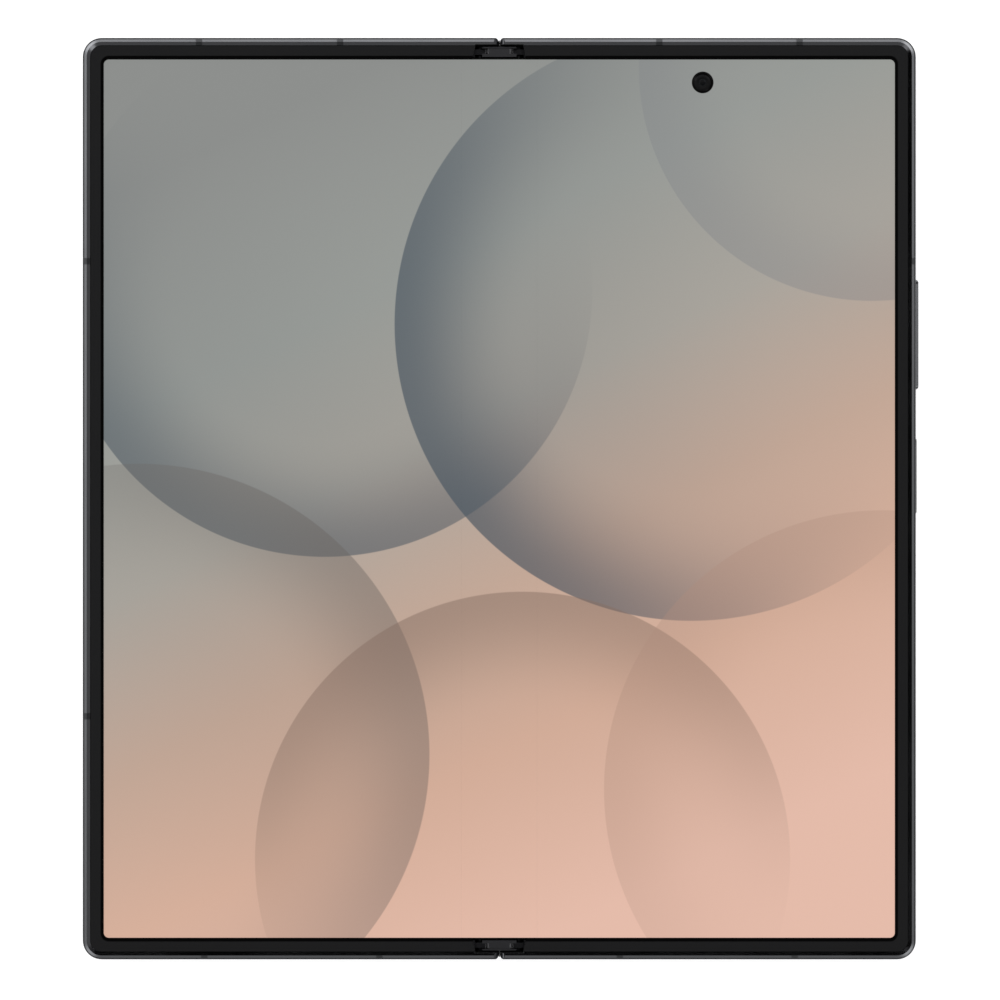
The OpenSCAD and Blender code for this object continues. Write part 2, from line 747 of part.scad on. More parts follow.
// Ring between two angles, cut by a wide wedge
module crescent_outline() intersection() {
    difference() {
        circle(arc_out);
        circle(arc_in);
    }
    polygon([[0, 0], 4 * [cos(-170), sin(-170)], 4 * [cos(-110), sin(-110)], 4 * [cos(-48), sin(-48)]]);
}

module right_crescent_arms() color("#77777a")
    for (b = blocks) crescent_arm(b + block_l / 4);

module magnets()
    for (y = magnet_ys)
        block(side_x - 1.9, side_x - 0.1, y - magnet_l / 2, y + magnet_l / 2, plate_z - 1.6, plate_z);

module right_magnets() color("#a3a3a6") magnets();

// Screws through the arms' feet into the frame
module screws(arm_side) {
    for (p = end_screws) translate([p[0], p[1], 0]) {
        translate([0, 0, inside_z + 0.1]) cylinder(h = panel_z - 0.3 - inside_z, r = screw_r);
        translate([0, 0, panel_z - 0.5]) cylinder(h = 0.3, r = screw_head_r);
    }
    for (b = blocks) translate([inner_x + 2.6, b + arm_side * block_l / 4, 0]) {
        translate([0, 0, cres_z0 - 0.1]) cylinder(h = plate_z + 0.2 - cres_z0, r = screw_r);
        translate([0, 0, cres_z0 - 0.4]) cylinder(h = 0.4, r = screw_head_r);
    }
}

module right_screws() color("#8f8f92") screws(1);

// ---- left half ----

module left_frame() color("#4a4a4d") {
    difference() {
        on_left() half_frame(left_top_bands, left_bottom_bands, left_side_bands, -1);
        translate([-tray_x, 0, 0]) tray_slot_cut();
        for (k = [0:hole_count - 1])
            top_hole(-cover_cam_x - (k - (hole_count - 1) / 2) * hole_pitch);
        bottom_holes(-tray_x + 10.5, 1);
    }
}

module tray_slot_cut()
    translate([0, -half_h - 1, mid_z]) rotate([-90, 90, 0])
        pill(tray_head_h + 0.1, tray_head_w + 0.1, 0, rim_w + 2);

module left_antenna_bands() color("#2d2d2f")
    on_left() antenna_bands(left_top_bands, left_bottom_bands, left_side_bands);

module left_bezel() color("#1c1c1d") on_left() bezel_ring();

module left_display_panel() color("#a9a39c") on_left() display_panel(false);

module cover_glass() color([0.06, 0.06, 0.07, 0.7])
    on_left() half_plate(back_rim_w + 0.05, corner_r - back_rim_w, axis_x + 0.05, back_z, inside_z);

cover_display_t = 0.5;
cover_cam_y = side_y - 5;

module cover_display() color("#15171a") {
    on_left() difference() {
        block(inner_x + 0.1, side_x - 0.6, -side_y + 0.8, side_y - 0.8, inside_z,
            inside_z + cover_display_t);
        translate([cover_cam_x, cover_cam_y, 0]) cylinder(h = rim_z, r = cover_cam_r + 0.1);
        both_ends() block(inner_x, foot_x1 + fit + 0.05, foot_y0 - 0.05, half_h, 0, rim_z);
        for (b = blocks) block(inner_x, cres_foot_x + 0.3, b - block_l / 4 - cres_w / 2 - 0.3,
            b - block_l / 4 + cres_w / 2 + 0.3, 0, rim_z);
    }
}

module left_battery() color("#2f2f31")
    on_left() block(batt_x0, batt_x1, left_batt_y0, left_batt_y1, plate_z - battery_t + 0.1, plate_z);

module left_board() color("#1f4d3a") {
    on_left() difference() {
        block(batt_x0, batt_x1, left_batt_y1 + 1, side_y - 0.6, board_low_z, board_z);
        translate([cover_cam_x, cover_cam_y, 0]) block(-10, 10, -4, 10, 0, rim_z);
    }
    // Shield cans that touch the frame's plate
    on_left() {
        block(batt_x0 + 2, batt_x0 + 14, left_batt_y1 + 3, side_y - 4, board_z - eps, plate_z);
        block(cover_cam_x + 12, batt_x1 - 2, left_batt_y1 + 3, side_y - 4, board_z - eps, plate_z);
    }
}

module cover_camera() color("#101012")
    translate([-cover_cam_x, cover_cam_y, 0]) {
        translate([0, 0, inside_z]) cylinder(h = 0.6, r = cover_cam_r);
        translate([-3, -3, inside_z + 0.6]) cube([6, 6, plate_z - inside_z - 0.6]);
    }

module earpiece() color("#262628")
    translate([-cover_cam_x, 0, 0]) block(-8, 8, side_y - 1.6, side_y, plate_z - 1.8, plate_z);

module sim_reader() color("#9a9a9c")
    translate([-tray_x, 0, 0]) difference() {
        block(-tray_w / 2 - 0.6, tray_w / 2 + 0.6, -side_y, -side_y + tray_l, tray_z - 0.4, plate_z);
        block(-tray_w / 2 - 0.1, tray_w / 2 + 0.1, -side_y - 1, -side_y + tray_l - 0.4, tray_z - 0.1,
            tray_z + tray_t + 0.1);
    }

module left_end_arms() color("#77777a") both_ends() end_arm(-1);

module left_crescent_arms() color("#77777a")
    on_left() for (b = blocks) crescent_arm(b - block_l / 4);

module left_magnets() color("#a3a3a6") on_left() magnets();

module left_screws() color("#8f8f92") on_left() screws(-1);

// ---- spine ----

// The spine cover's section: a round under each pin and a flat between them
module spine_outline(r) {
    union() {
        for (s = [-1, 1]) translate([s * axis_x, axis_z]) circle(r);
        translate([-axis_x, axis_z - r]) square([2 * axis_x, r]);
    }
}

// Lets a section drawn in X and Z run along Y
module along_y(y0, y1) translate([0, y1, 0]) rotate([90, 0, 0]) linear_extrude(y1 - y0) children();

// The way that a crescent arm swings out of the spine
module arm_sweep(y) {
    block(axis_x + 0.85, 9, y - cres_w / 2 - 0.06, y + cres_w / 2 + 0.06, cres_z0 - 0.05, rim_z);
}

module all_arm_sweeps() {
    for (b = blocks) {
        arm_sweep(b + block_l / 4);
        on_left() arm_sweep(b - block_l / 4);
    }
}

module spine_cover() color("#3f3f42") {
    difference() {
        along_y(-spine_y, spine_y) difference() {
            spine_outline(spine_r);
            translate([-10, spine_top_z]) square([20, 10]);
        }
        along_y(-spine_y + 0.35, spine_y - 0.35) spine_outline(spine_in);
        all_arm_sweeps();
    }
}

// Two upright plates at each end of the spine, joined by a cap, that hold the pins and axles
module end_bracket() {
    y_in = arm_y - arm_t / 2 - run_gap;
    y_out = arm_y + arm_t / 2 + run_gap;
    y_end = spine_y - 0.4;
    difference() {
        union() {
            along_y(y_in - cheek_t, y_in) cheek_outline();
            along_y(y_out, y_end) cheek_outline();
            block(-axis_x - 0.2, axis_x + 0.2, y_in - cheek_t, y_end, cap_bottom_z, cap_top_z);
        }
        for (s = [-1, 1]) {
            rod(s * axis_x, axis_z, 0, half_h, pin_r);
            rod(s * idler_x, idler_z, 0, half_h, axle_r);
        }
        // Groove that sets the cap off from the outer cheek
        block(-axis_x - 1, axis_x + 1, y_out - cap_groove_w, y_out, cap_top_z - cap_groove_d, rim_z);
    }
}

module cheek_outline() {
    union() {
        intersection() {
            spine_outline(spine_in - 0.02);
            translate([-cheek_x, axis_z - 5]) square([2 * cheek_x, 5]);
        }
        translate([-cheek_x, axis_z - 0.2]) square([2 * cheek_x, cap_top_z - axis_z + 0.2]);
    }
}

module end_brackets() color("#58585b") both_ends() end_bracket();

// Block with two arc grooves, one for each half's crescent arm
module slide_block(b) {
    top = axis_z + 0.2;
    difference() {
        along_y(b - block_l / 2, b + block_l / 2) intersection() {
            spine_outline(spine_in - 0.02);
            translate([-10, axis_z - 5]) square([20, 5 + top - axis_z]);
        }
        for (s = [-1, 1]) {
            y = b + s * block_l / 4;
            along_y(y - cres_w / 2 - 0.06, y + cres_w / 2 + 0.06)
                translate([s * axis_x, axis_z]) difference() {
                    circle(arc_out + 0.05);
                    circle(arc_in - 0.05);
                }
        }
        all_arm_sweeps();
    }
}

module slide_blocks() color("#6a6a6d") for (b = blocks) slide_block(b);

// Thin plate under the middle of the fold
module centre_plate() color("#8a8a8d") {
    block(-2.1, 2.1, -wing_y, wing_y, wing_z - wing_t, wing_z);
    // Posts that stand on the slide blocks
    for (b = blocks) block(-0.5, 0.5, b - 0.8, b + 0.8, axis_z + 0.2, wing_z - wing_t + eps);
}

module hinge_pins() color("#b5b5b8") both_ends()
    for (s = [-1, 1]) rod(s * axis_x, axis_z, arm_y - arm_t / 2 - run_gap - cheek_t, spine_y - 0.4, pin_r);

module idler_axles() color("#b5b5b8") both_ends()
    for (s = [-1, 1]) rod(s * idler_x, idler_z, arm_y - arm_t / 2 - run_gap - cheek_t, spine_y - 0.4, axle_r);

// Spring clips that stand on the spine's floor beside the slide blocks and press on the arms
module friction_clips() color("#c2c2c5")
    for (b = blocks) for (s = [-1, 1]) {
        y = b + s * (block_l / 2 + 1.6);
        along_y(y - 1.4, y + 1.4) difference() {
            intersection() {
                spine_outline(spine_in - 0.02);
                translate([-10, axis_z - 5]) square([20, 4.6]);
            }
            spine_outline(spine_in - 0.3);
        }
        along_y(y - 1.4, y + 1.4) translate([-0.15, axis_z - spine_in + 0.2]) square([0.3, 1.2]);
    }

module display_fold_strip() color("#b3a89f")
    block(-flex_w + 0.01, flex_w - 0.01, -strip_y, strip_y, panel_z, surface_z);

// Two flexible cables that cross the hinge between the slide blocks
module hinge_flex_cables() color("#b06a2c")
    for (s = [-1, 1]) block(-cable_end_x, cable_end_x, s * cable_y - cable_w / 2, s * cable_y + cable_w / 2,
        cable_z, cable_z + cable_t);

// ---- pieces that move inside the hinge ----

module wing_plate(arm_side) {
    difference() {
        union() {
            block(wing_end_x, wing_x, -wing_y, wing_y, wing_z - wing_t, wing_z);
            rod(wing_x, bead_z, -wing_y, wing_y, bead_r);
        }
        for (b = blocks) block(wing_end_x - 1, 4.1, b + arm_side * block_l / 4 - cres_w / 2 - 0.4,
            b + arm_side * block_l / 4 + cres_w / 2 + 0.4, 0, rim_z);
        for (y = hooks) difference() {
            block(wing_x - 0.6, wing_x + 1, y - 1.2, y + 1.2, 0, rim_z);
            rod(wing_x, bead_z, y - 2, y + 2, bead_r);
        }
    }
}

module right_wing_plate() color("#8a8a8d") wing_plate(1);

module left_wing_plate() color("#8a8a8d") on_left() wing_plate(-1);

module idler_gear(side) {
    y0 = arm_y - arm_t / 2;
    y1 = arm_y + arm_t / 2;
    difference() {
        gear(side * idler_x, idler_z, y0, y1, idler_teeth, idler_tooth(side), [0, 360]);
        rod(side * idler_x, idler_z, y0 - 1, y1 + 1, axle_r + run_gap);
    }
}

module right_idler_gears() color("#c9b26b") both_ends() idler_gear(1);

module left_idler_gears() color("#c9b26b") both_ends() idler_gear(-1);

// ---- keys and tray ----

// Key: a bar with round ends and a lip behind the rim that keeps it in
module key(y, l, out) {
    intersection() {
        key_slot(y, l, key_w, lip_x, half_w + out);
        // Both ends are rounded off, seen from the front
        translate([0, y, back_z]) linear_extrude(body_t) union() {
            translate([side_x - 1, out - l / 2]) square([half_w + out - side_x + 1, l - 2 * out]);
            translate([side_x - 1, -l / 2]) square([half_w - side_x + 1, l]);
            for (s = [-1, 1]) translate([half_w, s * (l / 2 - out)]) circle(out);
        }
    }
    key_slot(y, l + 1, key_w + 0.3, key_x0, lip_x + eps);
}

module volume_key() color("#4d4d50") key(volume_y, volume_l, volume_out);

module power_key() color("#4d4d50") key(power_y, power_l, power_out);

module sim_tray() color("#6b6b6e")
    translate([-tray_x, 0, 0]) {
        translate([0, -half_h + 0.02, mid_z]) rotate([-90, 90, 0])
            pill(tray_head_h, tray_head_w, 0, tray_head_t);
        difference() {
            block(-tray_w / 2, tray_w / 2, -half_h + 0.02 + tray_head_t - eps, -side_y + tray_l - 0.8, tray_z,
                tray_z + tray_t);
            // Pocket for a 12.3 by 8.8 mm card
            block(-4.4, 4.4, -side_y + 1.4, -side_y + 13.7, tray_z + 0.15, tray_z + 1);
        }
    }

right_frame();
right_antenna_bands();
right_bezel();
right_display_panel();
right_back_glass();
camera_island();
camera_rings();
camera_windows();
rear_cameras();
flash_lens();
main_board();
board_shields();
right_battery();
charging_coil();
sub_board();
usb_socket();
bottom_speaker();
vibration_motor();
inner_camera();
key_switches();
right_end_arms();
right_crescent_arms();
right_magnets();
right_screws();
left_frame();
left_antenna_bands();
left_bezel();
left_display_panel();
cover_glass();
cover_display();
left_battery();
left_board();
cover_camera();
earpiece();
sim_reader();
left_end_arms();
left_crescent_arms();
left_magnets();
left_screws();
spine_cover();
end_brackets();
slide_blocks();
centre_plate();
hinge_pins();
idler_axles();
friction_clips();
display_fold_strip();
hinge_flex_cables();
right_wing_plate();
left_wing_plate();
right_idler_gears();
left_idler_gears();
volume_key();
power_key();
sim_tray();
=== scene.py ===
import math

import bmesh
import bpy
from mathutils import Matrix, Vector


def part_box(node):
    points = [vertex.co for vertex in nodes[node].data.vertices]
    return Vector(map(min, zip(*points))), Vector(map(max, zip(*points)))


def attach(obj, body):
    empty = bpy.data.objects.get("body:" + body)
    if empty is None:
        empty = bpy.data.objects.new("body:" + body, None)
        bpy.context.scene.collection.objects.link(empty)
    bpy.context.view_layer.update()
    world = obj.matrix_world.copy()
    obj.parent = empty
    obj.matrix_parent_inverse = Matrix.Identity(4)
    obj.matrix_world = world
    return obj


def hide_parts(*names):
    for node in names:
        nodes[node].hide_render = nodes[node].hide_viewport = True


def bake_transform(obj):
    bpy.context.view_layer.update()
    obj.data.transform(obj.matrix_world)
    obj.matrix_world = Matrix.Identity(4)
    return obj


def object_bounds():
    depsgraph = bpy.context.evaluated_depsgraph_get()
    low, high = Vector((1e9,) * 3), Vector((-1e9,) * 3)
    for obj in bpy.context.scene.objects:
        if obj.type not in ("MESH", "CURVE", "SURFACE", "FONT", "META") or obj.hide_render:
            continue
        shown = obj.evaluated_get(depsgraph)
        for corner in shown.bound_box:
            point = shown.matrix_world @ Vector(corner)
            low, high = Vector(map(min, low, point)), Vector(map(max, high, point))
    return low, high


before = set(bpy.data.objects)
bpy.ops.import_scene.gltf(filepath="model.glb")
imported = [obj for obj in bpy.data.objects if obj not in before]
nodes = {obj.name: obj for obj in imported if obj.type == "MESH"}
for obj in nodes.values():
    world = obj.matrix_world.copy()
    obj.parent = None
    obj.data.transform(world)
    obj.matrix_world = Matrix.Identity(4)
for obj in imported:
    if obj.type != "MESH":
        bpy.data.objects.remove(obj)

cad_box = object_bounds()
mm = 0.001


# ---- Camera ----
# The photograph was taken from straight above with a long lens: both side walls are hidden
# and the rim is equally wide all round.
photo_side = 1000  # pixels
photo_scale = 0.1719 * mm  # real size of one pixel at the display's surface
phone_middle = (499.3, 498.65)  # the phone's middle in the photograph, in pixels
display_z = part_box("display_fold_strip")[1].z

camera = bpy.data.objects.new("camera", bpy.data.cameras.new("camera"))
camera.data.lens, camera.data.sensor_width = 135, 36
camera.data.clip_start = 10 * mm
camera.location = (
    (photo_side / 2 - phone_middle[0]) * photo_scale,
    (phone_middle[1] - photo_side / 2) * photo_scale,
    display_z + photo_side * photo_scale * camera.data.lens / camera.data.sensor_width,
)
bpy.context.scene.collection.objects.link(camera)
bpy.context.scene.camera = camera
bpy.context.scene.view_settings.view_transform = "Standard"


# ---- Floor ----
# A wide sheet of matt white paper. Rays from the camera, and those that metal or glass
# mirrors, also see a little light of its own, so that it stays white under a soft shadow.
def linear(hex_colour):
    """Linear colour from an sRGB hex value, with full alpha."""
    channels = [int(hex_colour[k:k + 2], 16) / 255 for k in (1, 3, 5)]
    return [c / 12.92 if c <= 0.04045 else ((c + 0.055) / 1.055) ** 2.4 for c in channels] + [1]


def add(tree, kind, inputs=None, stops=(), **settings):
    """One shader node with its settings. Each input is a plain value or the socket that feeds it, and
    the stops are a colour ramp's places and hex colours, in rising order."""
    made = tree.nodes.new("ShaderNode" + kind)
    for name, value in settings.items():
        setattr(made, name, value)
    for name, value in (inputs or {}).items():
        if isinstance(value, bpy.types.NodeSocket):
            tree.links.new(value, made.inputs[name])
        else:
            made.inputs[name].default_value = value
    for k, (position, colour) in enumerate(stops):
        mark = made.color_ramp.elements[k] if k < 2 else made.color_ramp.elements.new(position)
        mark.position, mark.color = position, linear(colour)
    return made


def new_material(name):
    """An empty node material and its tree."""
    made = bpy.data.materials.new(name)
    made.use_nodes = True
    made.node_tree.nodes.clear()
    return made, made.node_tree


def new_piece(name, mesh, finish):
    """A smooth scene object from a finished bmesh, in one material."""
    data = bpy.data.meshes.new(name)
    mesh.to_mesh(data)
    mesh.free()
    data.materials.append(finish)
    data.shade_smooth()
    made = bpy.data.objects.new(name, data)
    bpy.context.scene.collection.objects.link(made)
    return made


floor_reach = 8  # metres to each side
floor_gap = 0.02 * mm  # under the phone, so that the two faces don't coincide
paper_glow = 0.76

paper, tree = new_material("white_paper")
matt = add(tree, "BsdfDiffuse", {"Color": linear("#b9b9b9")})
rays = add(tree, "LightPath").outputs
seen = add(tree, "Math", {0: rays["Is Camera Ray"], 1: rays["Is Glossy Ray"]}, operation="MAXIMUM")
seen = add(tree, "Math", {0: seen.outputs[0], 1: rays["Is Transmission Ray"]}, operation="MAXIMUM")
glow = add(tree, "Math", {0: seen.outputs[0], 1: paper_glow}, operation="MULTIPLY")
glow = add(tree, "Emission", {"Color": linear("#ffffff"), "Strength": glow.outputs[0]})
both = add(tree, "AddShader", {0: matt.outputs[0], 1: glow.outputs[0]})
add(tree, "OutputMaterial", {"Surface": both.outputs[0]})

floor_mesh = bmesh.new()
bmesh.ops.create_grid(floor_mesh, x_segments=8, y_segments=8, size=floor_reach)
floor = new_piece("floor", floor_mesh, paper)
floor.location.z = cad_box[0].z - floor_gap


# ---- Studio light ----
# A pale room with one tall window wall far behind the phone's top left. Straight above hangs a
# soft panel, brighter on the window's side, between dark flats that keep the rim's slopes deep.
window_way = (-0.4, 0.92, 0)  # level way to the middle of the window wall
panel_way = (-0.25, 0.97, 0)  # level way to the panel's brighter side
panel_dim, panel_bright = 0.43, 1.48

room = bpy.data.worlds.new("studio_room")
room.use_nodes = True
tree = room.node_tree
tree.nodes.clear()
way = add(tree, "TexCoord").outputs["Generated"]
up = add(tree, "SeparateXYZ", {"Vector": way}).outputs["Z"]
pale_wall = add(tree, "ValToRGB", {"Fac": up}, (
    (0, "#e0e0e0"), (0.12, "#8c8c8c"), (0.3, "#7c7c7c"), (0.84, "#868686"))).outputs[0]
window_wall = add(tree, "ValToRGB", {"Fac": up}, (
    (0, "#ffffff"), (0.3, "#f4f4f4"), (0.42, "#101010"), (0.84, "#080808"))).outputs[0]
facing = add(tree, "VectorMath", {0: way, 1: window_way}, operation="DOT_PRODUCT").outputs["Value"]
window_side = add(tree, "MapRange", {"Value": facing, "From Min": -0.15, "From Max": 0.15},
                  interpolation_type="SMOOTHSTEP").outputs[0]
around = add(tree, "Mix", {"Factor": window_side, "A": pale_wall, "B": window_wall},
             data_type="RGBA").outputs["Result"]
toward = add(tree, "VectorMath", {0: way, 1: panel_way}, operation="DOT_PRODUCT").outputs["Value"]
panel = add(tree, "MapRange", {"Value": toward, "From Min": -0.12, "From Max": 0.3,
                               "To Min": panel_dim, "To Max": panel_bright}).outputs[0]
overhead = add(tree, "MapRange", {"Value": up, "From Min": 0.88, "From Max": 0.94},
               interpolation_type="SMOOTHSTEP").outputs[0]
lit = add(tree, "Mix", {"Factor": overhead, "A": around, "B": panel}, data_type="RGBA").outputs["Result"]

# A small lamp hangs by each corner of the panel, where the crests of the rim's corners mirror it,
# and two more lamps lower down light the slopes of the rim's two upper corners
lamp_fade = 7  # the light of a lamp ends at this many times its core's share of the sky
for lamp_way, core, power in (  # unit way, core as 1 - cosine of its half angle, brightness
    ((-0.29, 0.29, 0.912), 0.0014, 1.8), ((0.29, 0.29, 0.912), 0.0014, 1.8),
    ((-0.29, -0.29, 0.912), 0.0014, 1.0), ((0.29, -0.29, 0.912), 0.0014, 1.2),
    ((0.487, -0.487, 0.725), 0.007, 1.2), ((-0.487, -0.487, 0.725), 0.007, 0.5),
):
    near = add(tree, "VectorMath", {0: way, 1: lamp_way}, operation="DOT_PRODUCT").outputs["Value"]
    lamp = add(tree, "MapRange", {"Value": near, "From Min": 1 - lamp_fade * core, "From Max": 1 - core,
                                  "To Max": power}, interpolation_type="SMOOTHSTEP").outputs[0]
    lit = add(tree, "VectorMath", {0: lit, 1: lamp}, operation="ADD").outputs[0]
sky = add(tree, "Background", {"Color": lit, "Strength": 1})
add(tree, "OutputWorld", {"Surface": sky.outputs[0]})
bpy.context.scene.world = room

# A large scrim overhead fills the matt surfaces and isn't mirrored in the metal
scrim = bpy.data.objects.new("overhead_scrim", bpy.data.lights.new("overhead_scrim", "AREA"))
scrim.data.size, scrim.data.energy = 2.2, 30  # metres, watts
scrim.location = (-0.3, 0.6, 1.9)
scrim.rotation_euler = (-scrim.location).to_track_quat("-Z", "Y").to_euler()
scrim.visible_glossy = False
bpy.context.scene.collection.objects.link(scrim)


# ---- Frames, keys, camera island and tray ----
# Bead-blasted aluminium, anodised graphite grey: the blasting leaves a fine even grain,
# and the oxide layer dulls every reflection a little.
grit_size = 0.09 * mm  # real grit is near 0.05 mm, and is drawn coarser so that it shows
cloud_size = 9 * mm  # handling leaves patches of this size a little duller


def anodised(name, colour, roughness, depth=0.12):
    """Blasted and anodised aluminium. The depth is how strongly the grit roughens its mirror image."""
    finish, tree = new_material(name)
    place = add(tree, "TexCoord").outputs["Object"]
    grit = add(tree, "TexNoise", {"Vector": place, "Scale": 1 / grit_size, "Detail": 2}).outputs["Fac"]
    cloud = add(tree, "TexNoise", {"Vector": place, "Scale": 1 / cloud_size, "Detail": 3}).outputs["Fac"]
    dull = add(tree, "MapRange", {"Value": cloud, "From Min": 0.3, "From Max": 0.7,
                                  "To Min": roughness - 0.03, "To Max": roughness + 0.04}).outputs[0]
    tone = add(tree, "MapRange", {"Value": grit, "From Min": 0.3, "From Max": 0.7,
                                  "To Min": 0.92, "To Max": 1.08}).outputs[0]
    dyed = add(tree, "VectorMath", {0: linear(colour)[:3], "Scale": tone}, operation="SCALE").outputs[0]
    bump = add(tree, "Bump", {"Height": grit, "Strength": depth, "Distance": 0.01 * mm}).outputs[0]
    skin = add(tree, "BsdfPrincipled", {"Base Color": dyed, "Metallic": 1, "Roughness": dull, "Normal": bump})
    add(tree, "OutputMaterial", {"Surface": skin.outputs[0]})
    return finish


def dress(finish, *names):
    """Gives CAD nodes a material."""
    for name in names:
        for slot in nodes[name].material_slots:
            slot.material = finish


def overlay(finish, share, changes):
    """Gives a finish other values where the share is 1. The changes are input names with those values."""
    tree = finish.node_tree
    skin = next(node for node in tree.nodes if node.type == "BSDF_PRINCIPLED")
    for name, value in changes.items():
        socket = skin.inputs[name]
        plain = socket.links[0].from_socket if socket.links else socket.default_value
        if name == "Base Color":
            mixed = add(tree, "Mix", {"Factor": share, "A": plain, "B": linear(value)},
                        data_type="RGBA").outputs["Result"]
        else:
            mixed = add(tree, "Mix", {"Factor": share, "A": plain, "B": value}).outputs[0]
        tree.links.new(mixed, socket)


def share_where(tree, *limits):
    """How much of a second finish shows: it rises from 0 to 1 as each value goes from start to end."""
    share = 1
    for value, start, end in limits:
        rise = add(tree, "MapRange", {"Value": value, "From Min": start, "From Max": end}).outputs[0]
        share = add(tree, "Math", {0: share, 1: rise}, operation="MULTIPLY").outputs[0]
    return share


def off_middle(tree, place):
    """How far a point lies from the phone's middle planes, to either side."""
    size = add(tree, "VectorMath", {0: place}, operation="ABSOLUTE").outputs[0]
    return add(tree, "SeparateXYZ", {"Vector": size}).outputs


def round_reach(tree, place, half_size, corner, middle=(0, 0, 0)):
    """How far a point lies outside a rectangle that is its corner radius smaller all round."""
    inset = (half_size[0] - corner, half_size[1] - corner, 0)
    past = add(tree, "VectorMath", {0: place, 1: middle}, operation="SUBTRACT").outputs[0]
    past = add(tree, "VectorMath", {0: past}, operation="ABSOLUTE").outputs[0]
    past = add(tree, "VectorMath", {0: past, 1: inset}, operation="SUBTRACT").outputs[0]
    past = add(tree, "VectorMath", {0: past, 1: (0, 0, 0)}, operation="MAXIMUM").outputs[0]
    past = add(tree, "VectorMath", {0: past, 1: (1, 1, 0)}, operation="MULTIPLY").outputs[0]
    return add(tree, "VectorMath", {0: past}, operation="LENGTH").outputs["Value"]


frame_metal = anodised("graphite_frame_aluminium", "#7c7d80", 0.15, 0.04)
dress(frame_metal, "right_frame", "left_frame")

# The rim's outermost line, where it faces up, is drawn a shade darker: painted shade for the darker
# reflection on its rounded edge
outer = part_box("right_frame")[1]
outer_corner = 3.25 * mm
shade_inner, shade_outer = 0.36 * mm, 0.22 * mm  # the painted shade fades in between these depths
tree = frame_metal.node_tree
place = add(tree, "TexCoord").outputs["Object"]
reach = round_reach(tree, place, (outer.x, outer.y), outer_corner)
upward = add(tree, "SeparateXYZ", {"Vector": add(tree, "NewGeometry").outputs["Normal"]}).outputs["Z"]
painted_edge_shade = share_where(tree, (reach, outer_corner - shade_inner, outer_corner - shade_outer), (upward, 0.3, 0.6))
overlay(frame_metal, painted_edge_shade, {"Base Color": "#505153"})

# The inner faces of the end walls beside the fold are drawn matt black, as painted shade in the hinge recess
shade_x, shade_y = 4.2 * mm, 78.1 * mm  # up to here from the fold's middle, and from here outwards
soft_x, soft_y = 0.02 * mm, 0.01 * mm
off_x, off_y, _ = off_middle(tree, place)
painted_shade = share_where(tree, (off_x, shade_x + soft_x, shade_x - soft_x),
                    (off_y, shade_y + soft_y, shade_y - soft_y))
overlay(frame_metal, painted_shade, {"Base Color": "#060606", "Metallic": 0, "Roughness": 0.9})

# The keys' sides are drawn dark where they slide in the frame's slots, as painted shadow of the slots
key_metal = anodised("graphite_key_aluminium", "#707174", 0.18)
dress(key_metal, "volume_key", "power_key")
slot_shadow_x, slot_shadow_soft = outer.x + 0.1 * mm, 0.04 * mm  # the painted shadow reaches up to here
tree = key_metal.node_tree
off_x, _, _ = off_middle(tree, add(tree, "TexCoord").outputs["Object"])
side = share_where(tree, (off_x, slot_shadow_x + slot_shadow_soft, slot_shadow_x - slot_shadow_soft))
overlay(key_metal, side, {"Base Color": "#1c1c1d"})

dress(anodised("graphite_tray_aluminium", "#7c7d80", 0.15), "sim_tray")
dress(anodised("graphite_island_aluminium", "#5c5d60", 0.3), "camera_island")
dress(anodised("polished_ring_aluminium", "#8b8c90", 0.2), "camera_rings")


def soften(width, *names):
    """Breaks the sharp edges of CAD nodes, as tumbling does."""
    for name in names:
        nodes[name].modifiers.new("joined", "WELD").merge_threshold = 0.001 * mm
        edge = nodes[name].modifiers.new("broken_edge", "BEVEL")
        edge.width, edge.segments = width, 3
        edge.limit_method, edge.angle_limit = "ANGLE", math.radians(50)
        edge.harden_normals = True


soften(0.12 * mm, "volume_key", "power_key", "sim_tray", "camera_island")
soften(0.05 * mm, "camera_rings")


# ---- Antenna bands, bezels and other moulded plastic ----
# Glass-filled polyamide let into the rim, lacquered a darker shade of the frame's grey, and a soft
# black polymer rim stuck over the display's edge, moulded with a fine spark-eroded texture.
def moulded(name, colour, roughness, shine=0.4, texture=0.12 * mm):
    """Moulded plastic with the fine texture of its tool, near 0.03 mm and drawn coarser so that it shows."""
    finish, tree = new_material(name)
    place = add(tree, "TexCoord").outputs["Object"]
    cells = add(tree, "TexNoise", {"Vector": place, "Scale": 1 / texture, "Detail": 1}).outputs["Fac"]
    dull = add(tree, "MapRange", {"Value": cells, "To Min": roughness - 0.06, "To Max": roughness + 0.06})
    tone = add(tree, "MapRange", {"Value": cells, "To Min": 0.88, "To Max": 1.12}).outputs[0]
    dyed = add(tree, "VectorMath", {0: linear(colour)[:3], "Scale": tone}, operation="SCALE").outputs[0]
    bump = add(tree, "Bump", {"Height": cells, "Strength": 0.1, "Distance": 0.01 * mm}).outputs[0]
    skin = add(tree, "BsdfPrincipled", {
        "Base Color": dyed, "Roughness": dull.outputs[0], "IOR": 1.5, "Specular IOR Level": shine,
        "Normal": bump})
    add(tree, "OutputMaterial", {"Surface": skin.outputs[0]})
    return finish


dress(anodised("lacquered_band_polyamide", "#555658", 0.2), "right_antenna_bands", "left_antenna_bands")
bezel = moulded("bezel_polymer", "#161617", 0.5, 0.13)
dress(bezel, "right_bezel", "left_bezel")

